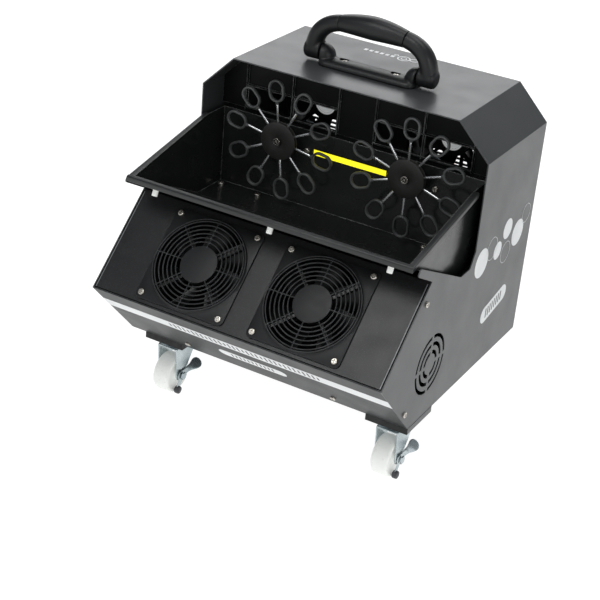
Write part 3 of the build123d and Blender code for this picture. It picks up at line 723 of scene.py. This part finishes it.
def square_reach(angle, half, radius):
    """Distance from the middle to a rounded square's edge at an angle."""
    c, s = abs(cos(angle)), abs(sin(angle))
    reach = half / max(c, s)
    x, y = reach * c, reach * s
    core = half - radius
    if x > core and y > core:
        b = core * (c + s)
        reach = b + sqrt(b * b - (2 * core * core - radius * radius))
    return reach


def front_fan_middle(side):
    """Middle of a front fan on the face of the sloping panel."""
    return NOSE + UP * FRONT_FAN_UP + Vector((side * FRONT_FAN_X, 0, 0))


def guard(side_name, side):
    """Square finger guard: plate, raised collar, six rings, hub cap and eight ribs."""
    where = place(front_fan_middle(side), (1, 0, 0), OUT)
    made = Shape(where)
    turn = [2 * pi * i / 144 for i in range(144)]
    edge = [square_reach(a, GUARD_HALF, 6.0) for a in turn]
    rows = []
    for drop, h in ((0.0, 0.0), (0.0, 1.8), (0.2, 2.2), (0.7, 2.4)):
        rows.append([((e - drop) * cos(a), (e - drop) * sin(a), h) for a, e in zip(turn, edge)])
    shoulder = [min(61.5, e - 1.0) for e in edge]
    rows.append([(e * cos(a), e * sin(a), 2.4) for a, e in zip(turn, shoulder)])
    for r, h in ((58.4, 3.2), (57.9, 4.9), (57.3, 5.6), (56.6, 5.6), (56.1, 5.0), (56.0, 0.0)):
        rows.append([(r * cos(a), r * sin(a), h) for a in turn])
    made.rows(rows, loop=True)
    for k in range(6):
        r = 28.2 + 5.2 * k
        bar = [(r + a, 4.5 + b) for a, b in oval(0.95, 1.15, 2.4, 10)]
        made.lathe(bar, 96, loop=True)
    made.lathe(
        [(0, 5.8), (21.6, 5.8), (22.6, 5.6), (23.0, 5.1), (23.0, 3.5), (22.5, 3.2), (0, 3.2)], 72
    )
    for k in range(8):
        a = pi * k / 4
        spoke = Shape(place((0, 0, 0), (cos(a), sin(a), 0), (0, 0, 1)))
        spoke.plate(rectangle(39.3, 0, 34.5, 1.5, 0.2), 3.4, 5.9, 0.4)
        join(made, spoke, where)
    made.piece(
        f"finger_guard_{side_name}", guard_black, "case", "black_plastic", [f"fan_guard_{side_name}"]
    )


def rotor(where, name, body, node):
    """Fan hub with twisted, cambered blades."""
    made = Shape(where)
    made.lathe([(4.2, -7.5), (21.4, -7.5), (22, -8.1), (22, -31.5), (19, -34.5), (4.2, -34.5)], 48)
    for k in range(BLADES):
        rows = []
        for i in range(8):
            r = 21.0 + 35.0 * i / 7
            pitch = radians(46 - 16 * i / 7)
            half = []
            for j in range(9):
                s = j / 8 - 0.5
                along = s * 31 * cos(pitch)
                lift = s * 29 * sin(pitch) + 2.6 * (1 - 4 * s * s)
                half.append((along, -22.2 + lift))
            skin = [(a, h + 0.8) for a, h in half] + [(a, h - 0.8) for a, h in half[::-1]]
            sweep = 2 * pi * k / BLADES - 0.16 * i / 7
            rows.append([(r * cos(sweep + a / r), r * sin(sweep + a / r), h) for a, h in skin])
        made.rows(rows)
    made.piece(name, plastic, body, "black_plastic", [node])


for side_name, side in SIDES.items():
    guard(side_name, side)
    front = place(front_fan_middle(side) - OUT * 1.5, (1, 0, 0), OUT)
    rear = place((side * REAR_FAN_X, REAR_FAN_Y, REAR_FAN_Z), (1, 0, 0), (0, -1, 0))
    for end, where in (("front", front), ("rear", rear)):
        rotor(
            where, f"{end}_fan_blades_{side_name}", f"{end}_rotor_{side_name}",
            f"{end}_fan_rotor_{side_name}",
        )
    sticker = Shape(rear).lathe([(0, 0.02), (14.3, 0.02), (14.3, 0.14), (14.1, 0.2), (0, 0.2)], 64)
    sticker.piece(f"fan_label_{side_name}", hub_label, "case", "white_nylon")

# ------------------------------------------------------------- bubble wheels
PHASE = {"left": 25.7, "right": 18.2}
WANDS = 10
WAND_R = 61.8
WAND_Y = 36.5  # plane of the wands and spokes


def wands(side_name, side):
    """One wheel: ribbed oval wands, flattened spokes and the two discs that clamp them."""
    face = place((side * WHEEL_X, 0, WHEEL_Z), (1, 0, 0), (0, -1, 0))
    body = f"bubble_wheel_{side_name}"
    angles = [radians(PHASE[side_name] + 360 / WANDS * k) for k in range(WANDS)]
    made = Shape()
    section = [(o, u - WAND_Y) for o, u in oval(1.6, 2.4, 3.2, 16)]
    steps = 64
    for a in angles:
        turned = Shape(place((0, 0, 0), (cos(a), sin(a), 0), (0, 0, 1)))
        path = []
        for i in range(steps):
            t = 2 * pi * (i + 0.5) / steps
            shift = 3.5 if cos(t) > 0 else -3.5
            path.append((WAND_R + shift + 9.1 * cos(t), 9.1 * sin(t), cos(t), sin(t)))
        turned.sweep(path, section, 0.5)
        turned.plate(rectangle(47.6, 0, 5.0, 3.8, 0.8), -38.2, -34.8, 0.5)
        join(made, turned, face)
    made.piece(
        f"wand_rings_{side_name}", wand_grey, body, "dark_grey_plastic",
        [f"wands_{side_name}"], sharp=50,
    )
    star = Shape()
    for a in angles:
        rod = Shape(place((0, 0, 0), (0, 0, 1), (cos(a), sin(a), 0)))
        rows = []
        for r, wide, thick in (
            (9.0, 0.9, 0.6), (9.6, 1.55, 1.0), (44.0, 1.55, 1.0), (46.6, 1.55, 1.0), (47.2, 0.9, 0.6),
        ):
            rows.append([(v - WAND_Y, u, r) for u, v in oval(wide, thick, 2.0, 16)])
        rod.rows(rows)
        join(star, rod, face)
    ring = Shape(face).lathe(
        [(3.1, -37.4), (12.0, -37.4), (12.0, -35.6), (3.1, -35.6)], 48, loop=True
    )
    join(star, ring)
    star.piece(
        f"spokes_{side_name}", spoke_steel, body, "bright_steel", [f"wand_star_{side_name}"], sharp=50
    )
    front_disc = Shape(face).lathe(
        [(3.2, -33.2), (5.4, -33.2), (5.8, -33.0), (22.9, -33.0), (23.6, -33.3), (23.8, -33.9),
         (23.8, -34.9), (23.4, -35.5), (3.2, -35.5)], 72, loop=True,
    )
    front_disc.piece(
        f"hub_disc_front_{side_name}", disc_black, body, "black_plastic",
        [f"wheel_disc_front_{side_name}"],
    )
    back_disc = Shape(face).lathe(
        [(3.2, -37.5), (23.4, -37.5), (23.8, -38.0), (23.8, -39.4), (23.3, -40.0), (3.2, -40.0)],
        72, loop=True,
    )
    back_disc.piece(
        f"hub_disc_back_{side_name}", disc_black, body, "black_plastic",
        [f"wheel_disc_back_{side_name}"],
    )


def hub_screw(side_name, side):
    """Washer and a raised cross, which stands in for the screw's cross slot."""
    low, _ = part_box(f"wheel_shaft_{side_name}")
    where = place((side * WHEEL_X, low.y / MM, WHEEL_Z), (1, 0, 0), (0, -1, 0))
    ring = [(2.9, 0.02), (4.6, 0.02), (4.8, 0.2), (4.6, 0.45), (2.9, 0.45)]
    washer = Shape(where).lathe(ring, 40, loop=True)
    washer.piece(f"hub_washer_{side_name}", screw_metal, f"bubble_wheel_{side_name}", "bright_steel")
    head = Shape(where)
    for angle in (45, 135):
        head.plate(stadium(0, 0, 4.6, 0.9, angle), 0.02, 0.35, 0.1)
    head.piece(f"hub_screw_{side_name}", screw_metal, f"bubble_wheel_{side_name}", "bright_steel")


for side_name, side in SIDES.items():
    wands(side_name, side)
    hub_screw(side_name, side)

# --------------------------------------------------------------------- handle
HANDLE_Y = 87.0
PIVOT_Z = 422.0
TOP_Z = 408.0  # hood
GRIP_END = 42.8
GRIP_Z = 463.8  # centre line of the barrel at x = 0
GRIP_SAG = 3.27  # drop of its ends
BASE_SCREW_X = 34.5


def handle_section(x, z, dx, dz, a, b, power):
    """Ring of points across a path in the XZ plane."""
    length = hypot(dx, dz)
    nx, nz = -dz / length, dx / length
    return [(x + nx * w, HANDLE_Y + y, z + nz * w) for y, w in oval(a, b, power, 36)]


def melt(size, rounds):
    """Joins overlapping forms into one skin and smooths the seams between them."""

    def apply(obj):
        skin = obj.modifiers.new("skin", "REMESH")
        skin.mode = "VOXEL"
        skin.voxel_size = size * MM
        soft = obj.modifiers.new("soft", "SMOOTH")
        soft.factor = 0.5
        soft.iterations = rounds

    return apply


def bezier(poles, t):
    """Point and direction at t on a cubic curve."""
    a, b, c, d = poles
    m = 1 - t
    spot = a * m**3 + b * 3 * m * m * t + c * 3 * m * t * t + d * t**3
    run = (b - a) * m * m + (c - b) * 2 * m * t + (d - c) * t * t
    return spot, run


def handle():
    """Barrel grip and the two curved legs, each with its pivot hub."""
    rows = []
    drop = GRIP_SAG / GRIP_END**2
    stations = [-42.7, -42.3] + [-42.3 + 84.6 * i / 20 for i in range(1, 20)] + [42.3, 42.7]
    for x in stations:
        share = abs(x / GRIP_END) ** 1.6
        nip = 0.5 if abs(x) > 42.5 else 0.0
        a, b = 14.0 - 4.1 * share - nip, 13.6 - 3.7 * share - nip
        rows.append(handle_section(x, GRIP_Z - drop * x * x, 1, -2 * drop * x, a, b, 2.3))
    Shape().rows(rows).piece(
        "grip", handle_black, "handle_bail", "handle_black", ["handle_grip"], sharp=30
    )
    poles = [Vector(p) for p in ((43.1, 460.5), (62.0, 457.5), (76.9, 446.0), (76.9, 422.0))]
    for side_name, side in SIDES.items():
        rows = []
        for i in range(17):
            t = i / 16
            spot, run = bezier(poles, t)
            ring = handle_section(spot.x, spot.y, run.x, run.y, 9.9 + 2.1 * t, 9.9 + 0.7 * t, 2.2)
            rows.append([(side * x, y, z) for x, y, z in ring])
        made = Shape().rows(rows)
        hub = Shape(place((side * 65.4, HANDLE_Y, PIVOT_Z), (0, 1, 0), (side, 0, 0)))
        hub.lathe(
            [(0, 0), (11.2, 0), (12.0, 0.8), (12.0, 17.0),
             (11.2, 19.8), (9.2, 21.4), (6.4, 22.0), (0, 22.1)],
            56,
        )
        join(made, hub)
        made.piece(
            f"leg_{side_name}", handle_black, "handle_bail", "handle_black",
            [f"handle_leg_{side_name}"], sharp=60, modify=melt(0.8, 6),
        )


def handle_foot():
    """Crowned base plate with a dome beside each leg."""
    rows = []
    steps = [65.0, 64.7, 64.0, 62.5, 60.5, 58, 54, 48, 40, 30, 20, 10, 0]
    for x in steps + [-x for x in steps[-2::-1]]:
        d = abs(x)
        corner = max(0.0, d - 54.0)
        width = 17.5 - (11.0 - sqrt(max(11.0**2 - corner**2, 0.0)))
        height = 9.5 - (0.0 if d < 62 else 0.45 * (d - 62) ** 2)
        ring = []
        for i in range(33):
            c, s = cos(pi * i / 32), abs(sin(pi * i / 32))
            # full and square in front, rounder and shallower behind
            y = 0.7 * width * c if c > 0 else -width * abs(c) ** 0.74
            ring.append((x, HANDLE_Y + y, TOP_Z + 0.2 + height * s ** (1.0 if c > 0 else 0.74)))
        rows.append(ring)
    made = Shape().rows(rows)
    for side in (-1, 1):
        rows = []
        for k in range(12):
            turn = pi / 2 * k / 11.3
            s = cos(turn)
            x = 64.8 - 17.0 * sin(turn)
            # the face beside the leg bows away from it so the leg can fold past
            rows.append([
                (side * (x - 0.012 * (y * s) ** 2), HANDLE_Y + y * s, TOP_Z + 9.0 + z * s)
                for y, z in oval(13.2, 15.2, 2.1, 36)
            ])
        dome = Shape()
        dome.rows([[(x, y, max(z, TOP_Z + 0.4)) for x, y, z in row] for row in rows])
        join(made, dome)
    cutters = []
    for x in (-BASE_SCREW_X, BASE_SCREW_X):
        for r, low in ((6.2, 4.0), (2.6, -1.0)):
            hole = Shape(place((x, HANDLE_Y, TOP_Z + low), (1, 0, 0), (0, 0, 1)))
            cutters.append(cutting_object(hole.lathe([(r, 0), (r, 12)], 40)))

    def drill(obj):
        melt(0.9, 3)(obj)
        bake_modifiers(obj)
        for cutter in cutters:
            take_away(obj, cutter)

    made.piece("handle_plate", handle_black, "case", "handle_black", ["handle_base"], modify=drill)
    for cutter in cutters:
        bpy.data.objects.remove(cutter)


handle()
handle_foot()

# -------------------------------------------------------------------- casters
HUBS = {
    ("front", "left"): (-147.3, -70.0),
    ("front", "right"): (160.2, -70.0),
    ("rear", "left"): (-120.0, 149.0),
    ("rear", "right"): (120.0, 149.0),
}
AXLE_Z = 25.0
TRAIL = 15.0  # from the kingpin back to the axle
FORK_LOW = 63.0
FORK_HIGH = 65.5
FORK_HALF = 14.4
CHEEK = 2.0  # sheet thickness
LEVER_OUT = 1.2  # brake lever clear of the fork


def caster(end, side_name):
    """Fork with its axle bolt, and a wheel; the front ones have a brake lever."""
    x, y = HUBS[end, side_name]
    axle = y - TRAIL
    across = place((x, 0, 0), (0, 1, 0), (1, 0, 0))
    level = place((x, y, 0), (1, 0, 0), (0, 0, 1))
    fork = Shape(level)
    fork.plate(rectangle(0, -5, 2 * FORK_HALF, 42, 3.0), FORK_LOW, FORK_HIGH, 0.7)
    cheek = [
        (y - 26, 64.2), (y - 25, 56), (axle - 8, 24), (axle - 5, 18.5),
        (axle + 5, 18.5), (axle + 8, 24), (y + 13, 52), (y + 16, 64.2),
    ]
    outline = rounded(cheek, [2, 6, 8, 4, 4, 8, 6, 2])
    for low in (-FORK_HALF, FORK_HALF - CHEEK):
        part = Shape(across)
        part.plate(outline, low, low + CHEEK, 0.6)
        join(fork, part)
    reach = 20.7 if end == "front" else 16.9
    for way, far in ((-1, 16.9), (1, reach)):
        bolt = Shape(place((x, axle, AXLE_Z), (0, 1, 0), (way, 0, 0)))
        bolt.lathe([(3, 0), (3, far - 2.4)], 24)
        nut = [(0, 2.5), (5.2, 2.5), (5.5, 2.1), (5.2, 0.6), (3.6, 0), (0, 0)]
        bolt.lathe([(r, far - back) for r, back in nut], 6)
        join(fork, bolt)
    fork.piece(
        f"fork_{end}_{side_name}_shell", zinc, f"fork_{end}_{side_name}", "zinc_steel",
        [f"caster_fork_{end}_{side_name}"],
    )
    wheel = Shape(place((x, axle, AXLE_Z), (0, 1, 0), (1, 0, 0)))
    half = [
        (3.1, 11.9), (7.4, 11.9), (8.2, 11.3), (8.6, 10.0), (10.5, 9.4), (17.0, 9.4), (18.8, 10.3),
        (20.4, 11.1), (22.2, 11.1), (23.6, 10.4), (24.5, 9.0), (24.85, 6.5), (25.0, 2.4),
    ]
    profile = half + [(r, -h) for r, h in half[::-1]]
    wheel.lathe(profile, 72, loop=True)
    wheel.piece(
        f"tyre_{end}_{side_name}", nylon, f"roller_{end}_{side_name}", "white_nylon",
        [f"caster_wheel_{end}_{side_name}"],
    )
    if end == "front":
        lever(side_name, x + LEVER_OUT, axle)


def lever(side_name, x, axle):
    """Pressed brake lever: a boss on the axle, a paddle behind and a toe below."""
    made = Shape()
    # along the lever: y, z, x, half width, half thickness, twist
    spine = [
        (-0.5, -1, 14.4, 5.8, 1.0, 0), (4, 0.8, 14.5, 5.6, 1.0, 0), (8, 2.4, 14.8, 4.4, 1.0, -6),
        (12, 4.0, 15.6, 3.8, 1.0, -18), (16, 5.4, 17.0, 4.2, 1.0, -32), (20, 6.6, 18.4, 5.8, 1.1, -44),
        (24, 7.4, 19.0, 7.0, 1.3, -50), (28, 7.9, 19.2, 7.2, 1.3, -52), (31.4, 8.2, 19.2, 5.8, 1.2, -52),
        (33.4, 8.3, 19.2, 3.2, 1.0, -52),
    ]
    rows = []
    for dy, dz, dx, wide, thick, twist in spine:
        c, s = cos(radians(twist)), sin(radians(twist))
        ring = []
        for u, v in oval(wide, thick, 2.8, 20):
            ring.append((x + dx + u * s + v * c, axle + dy, AXLE_Z + dz + u * c - v * s))
        rows.append(ring)
    made.rows(rows)
    toe = []
    for dy, dz, dx, wide in (
        (0, 1, 14.6, 5.4), (-1.6, -5, 14.6, 4.6), (-4, -11, 14.4, 3.8),
        (-6.2, -15, 14.2, 3.9), (-7, -17.5, 14.2, 3.2),
    ):
        toe.append([(x + dx + v, axle + dy + u, AXLE_Z + dz) for u, v in oval(wide, 1.0, 2.8, 20)])
    made.rows(toe)
    boss = Shape(place((x + 13.6, axle, AXLE_Z), (0, 1, 0), (1, 0, 0)))
    boss.lathe([(3.2, 0), (6.6, 0), (7, 0.4), (7, 1.6), (6.6, 2.0), (3.2, 2.0)], 36, loop=True)
    join(made, boss)
    made.piece(
        f"lever_{side_name}", zinc, f"brake_{side_name}", "zinc_steel", [f"brake_lever_{side_name}"]
    )
    tip = Shape(place((x + 11.4, axle - 7, 7.4), (0, 1, 0), (1, 0, 0)))
    tip.lathe(
        [(0, 0), (4.0, 0), (4.8, 0.6), (5.0, 1.6), (5.0, 5.0), (4.5, 6.2), (3.2, 6.8), (0, 6.9)], 36
    )
    tip.piece(f"lever_tip_{side_name}", tip_rubber, f"brake_{side_name}", "black_rubber")


# top plates with their ball races and kingpin heads
plates = Shape()
for (end, side_name), (x, y) in HUBS.items():
    caster(end, side_name)
    part = Shape(place((x, y, 0), (1, 0, 0), (0, 0, 1)))
    part.plate(rectangle(0, 0, 38, 48, 3.0), 74.5, 77.0, 0.4)
    part.lathe(
        [(0, 74.6), (15.2, 74.6), (16.2, 74.2), (16.5, 73.2), (16.3, 71.8), (15.0, 71.0),
         (14.2, 69.6), (14.6, 68.4), (15.8, 67.6), (16.3, 66.9), (16.0, 66.2), (15.2, 65.9), (0, 65.9)],
        56,
    )
    part.lathe(
        [(0, 65.9), (4.9, 65.9), (4.9, 62.6), (7.6, 62.6),
         (8.0, 62.0), (8.0, 60.2), (7.4, 59.8), (0, 59.8)],
        32,
    )
    join(plates, part)
plates.piece("caster_tops", zinc, "case", "zinc_steel", ["caster_plates"])

# --------------------------------------------------------------------- prints
SLOT_OF = {
    vinyl.name: "white_nylon",
    joint_shadow_paint.name: "black_textured_paint",
    fold_highlight_paint.name: "black_textured_paint",
}
CASE_HALF = 191.0
PRINT_LOW = 0.02  # gap under a print, so that it doesn't flicker with the case
PRINT_HIGH = 0.12
OVER_PRINT = (0.125, 0.16)  # bars on top of a print
JOINT_HIGH = 0.08


def printed(name, where, outlines, material, low=PRINT_LOW, high=PRINT_HIGH):
    """Thin flat marks on a face of the case."""
    made = Shape(where)
    for line in outlines:
        made.rows([[(x, y, h) for x, y in line] for h in (low, high)])
    made.piece(name, material, "case", SLOT_OF.get(material.name, "grey_powder_coat"))


def hoop(made, cx, cy, r, width):
    """Adds a thin flat ring to a shape."""
    turn = [(cos(2 * pi * i / 64), sin(2 * pi * i / 64), r) for i in range(64)]
    rows = []
    ring = ((0, PRINT_LOW), (0, PRINT_HIGH), (-width, PRINT_HIGH), (-width, PRINT_LOW))
    for reach, h in ring:
        rows.append([(cx + c * (q + reach), cy + s * (q + reach), h) for c, s, q in turn])
    made.rows(rows, loop=True)


# painted shadow in the joints round the sloping panel, and painted highlight along its side folds
panel = place(NOSE, (1, 0, 0), OUT)
joint = [rectangle(x, 67, 1.5, 130) for x in (-188.8, 188.8)] + [rectangle(0, 2.2, 376, 1.1)]
printed("panel_joint_shadow", panel, joint, joint_shadow_paint, high=JOINT_HIGH)
fold_highlights = [rectangle(x, 67, 1.1, 128) for x in (-187.4, 187.4)]
printed("panel_fold_highlights", panel, fold_highlights, fold_highlight_paint, high=JOINT_HIGH)

# white stripe and pill on the lower front strip, with plain bars
FOOT = Vector((0, -109.5, 85.0))
DOWN = (FOOT - NOSE).normalized()
strip = place(NOSE, (1, 0, 0), DOWN.cross(Vector((1, 0, 0))))
printed("front_stripe", strip, [rectangle(0, -41, 380.6, 21.5)], vinyl)
bars = [rectangle(-98.5 + 6.2 * i, -41, 2.4, 12.5 if i % 4 else 8.5) for i in range(33)]
printed("front_stripe_bars", strip, bars, dark_print, *OVER_PRINT)
printed("front_pill", strip, [stadium(0, -79, 92, 17)], vinyl)
bars = [rectangle(-27.5 + 5.5 * i, -79, 2.2, 8.6) for i in range(11)]
printed("front_pill_bars", strip, bars, dark_print, *OVER_PRINT)

# filled and outlined bubbles (y, z, radius) and a tilted pill on each side
BUBBLES = ((44.6, 234.8, 18.4), (91.2, 233.6, 11.4), (115.2, 253.6, 13.0), (150.2, 236.0, 17.2))
RINGS = ((73.0, 243.0, 14.6), (118.0, 221.5, 14.0), (171.0, 254.5, 12.6))
PILL_TILT = 10.2
tilt = radians(PILL_TILT)
for side_name, side in SIDES.items():
    wall = place((side * CASE_HALF, 0, 0), (0, side, 0), (side, 0, 0))
    printed(f"bubble_print_{side_name}", wall, [circle(side * y, z, r) for y, z, r in BUBBLES], vinyl)
    rings = Shape(wall)
    for y, z, r in RINGS:
        hoop(rings, side * y, z, r, 0.5)
    rings.piece(f"ring_print_{side_name}", vinyl, "case", "white_nylon")
    pill = stadium(side * 105, 156, 74, 22, PILL_TILT * side)
    printed(f"pill_print_{side_name}", wall, [pill], vinyl)
    bars = []
    for i in range(8):
        step = -21 + 6 * i
        mid = (side * (104 + step * cos(tilt)), 156 + step * sin(tilt))
        bars.append(rectangle(*mid, 2.8, 12.5))
    printed(f"pill_bars_{side_name}", wall, bars, dark_print, *OVER_PRINT)

# rings (x, y, radius, line width) and dashes on the hood
hood = place((0, 0, TOP_Z), (1, 0, 0), (0, 0, 1))
marks = Shape(hood)
HOOD_RINGS = ((6, 166, 8.5, 1.8), (6, 166, 4.0, 1.2), (19, 168, 5.5, 1.4), (-7, 172, 3.0, 1.0))
for x, y, r, width in HOOD_RINGS:
    hoop(marks, x, y, r, width)
marks.piece("hood_rings", vinyl, "case", "white_nylon")
printed("hood_dashes", hood, [rectangle(-46 + 7.4 * i, 165, 4.6, 6.0) for i in range(6)], vinyl)

# side of the front right foot, painted with the case
cover = Shape(place((CASE_HALF, 0, 0), (0, 1, 0), (1, 0, 0)))
cover.plate(rectangle(-78.4, 81.3, 61.8, 7.8), 0.02, 0.3, 0.1)
cover.piece("foot_side_right", powder, "case", "grey_powder_coat")

# ------------------------------------------------------------ floor and lights
floor_mesh = bpy.data.meshes.new("floor")
floor_mesh.from_pydata([(-9, -9, 0), (9, -9, 0), (9, 9, 0), (-9, 9, 0)], [], [(0, 1, 2, 3)])
floor = bpy.data.objects.new("floor", floor_mesh)
scene.collection.objects.link(floor)
paper = Finish("pale_paper", "#8a8a8a", "#8d8d8d", 0.6, (0.85, 0.9), Specular_IOR_Level=0.1)
paper.glow((1, 1, 1, 1), 0.96)
floor_mesh.materials.append(paper.done())

# dim light from all round, with a white backdrop
world = bpy.data.worlds.new("studio")
world.use_nodes = True
tree = world.node_tree
tree.nodes.clear()
out = tree.nodes.new("ShaderNodeOutputWorld")
ray = tree.nodes.new("ShaderNodeLightPath")
both = tree.nodes.new("ShaderNodeMixShader")
tree.links.new(ray.outputs["Is Camera Ray"], both.inputs[0])
for slot, colour, strength in ((1, (0.9, 0.95, 1.0, 1.0), 0.24), (2, (1, 1, 1, 1), 1.0)):
    glow = tree.nodes.new("ShaderNodeBackground")
    glow.inputs[0].default_value = colour
    glow.inputs[1].default_value = strength
    tree.links.new(glow.outputs[0], both.inputs[slot])
tree.links.new(both.outputs[0], out.inputs[0])
scene.world = world


def softbox(name, spot, target, width, height, watts):
    """Rectangular area light aimed at a point."""
    data = bpy.data.lights.new(name, "AREA")
    data.shape = "RECTANGLE"
    data.size, data.size_y = width, height
    data.energy = watts
    light = bpy.data.objects.new(name, data)
    light.location = spot
    light.rotation_euler = (Vector(target) - Vector(spot)).to_track_quat("-Z", "Y").to_euler()
    light.visible_camera = False
    scene.collection.objects.link(light)


softbox("back_panel", (-0.6, 2.2, 1.5), (0, 0, 0.3), 2.6, 1.2, 23)
softbox("top_panel", (0.3, 0.3, 2.4), (0, 0, 0.3), 1.6, 1.2, 17)
softbox("right_panel", (2.4, -0.4, 0.8), (0, 0, 0.3), 1.4, 1.4, 5)
softbox("left_fill", (-1.3, -2.0, 1.9), (0, 0, 0.3), 1.0, 1.0, 2)
softbox("right_key", (1.9, -1.5, 1.15), (0, 0, 0.25), 0.8, 0.8, 8)
softbox("front_low", (-0.3, -2.6, 1.0), (0, 0, 0.25), 2.0, 1.2, 7)
softbox("front_top", (-0.2, -0.78, 1.35), (0.1, -0.14, 0.22), 0.6, 0.6, 5.5)
scene.view_settings.view_transform = "Standard"
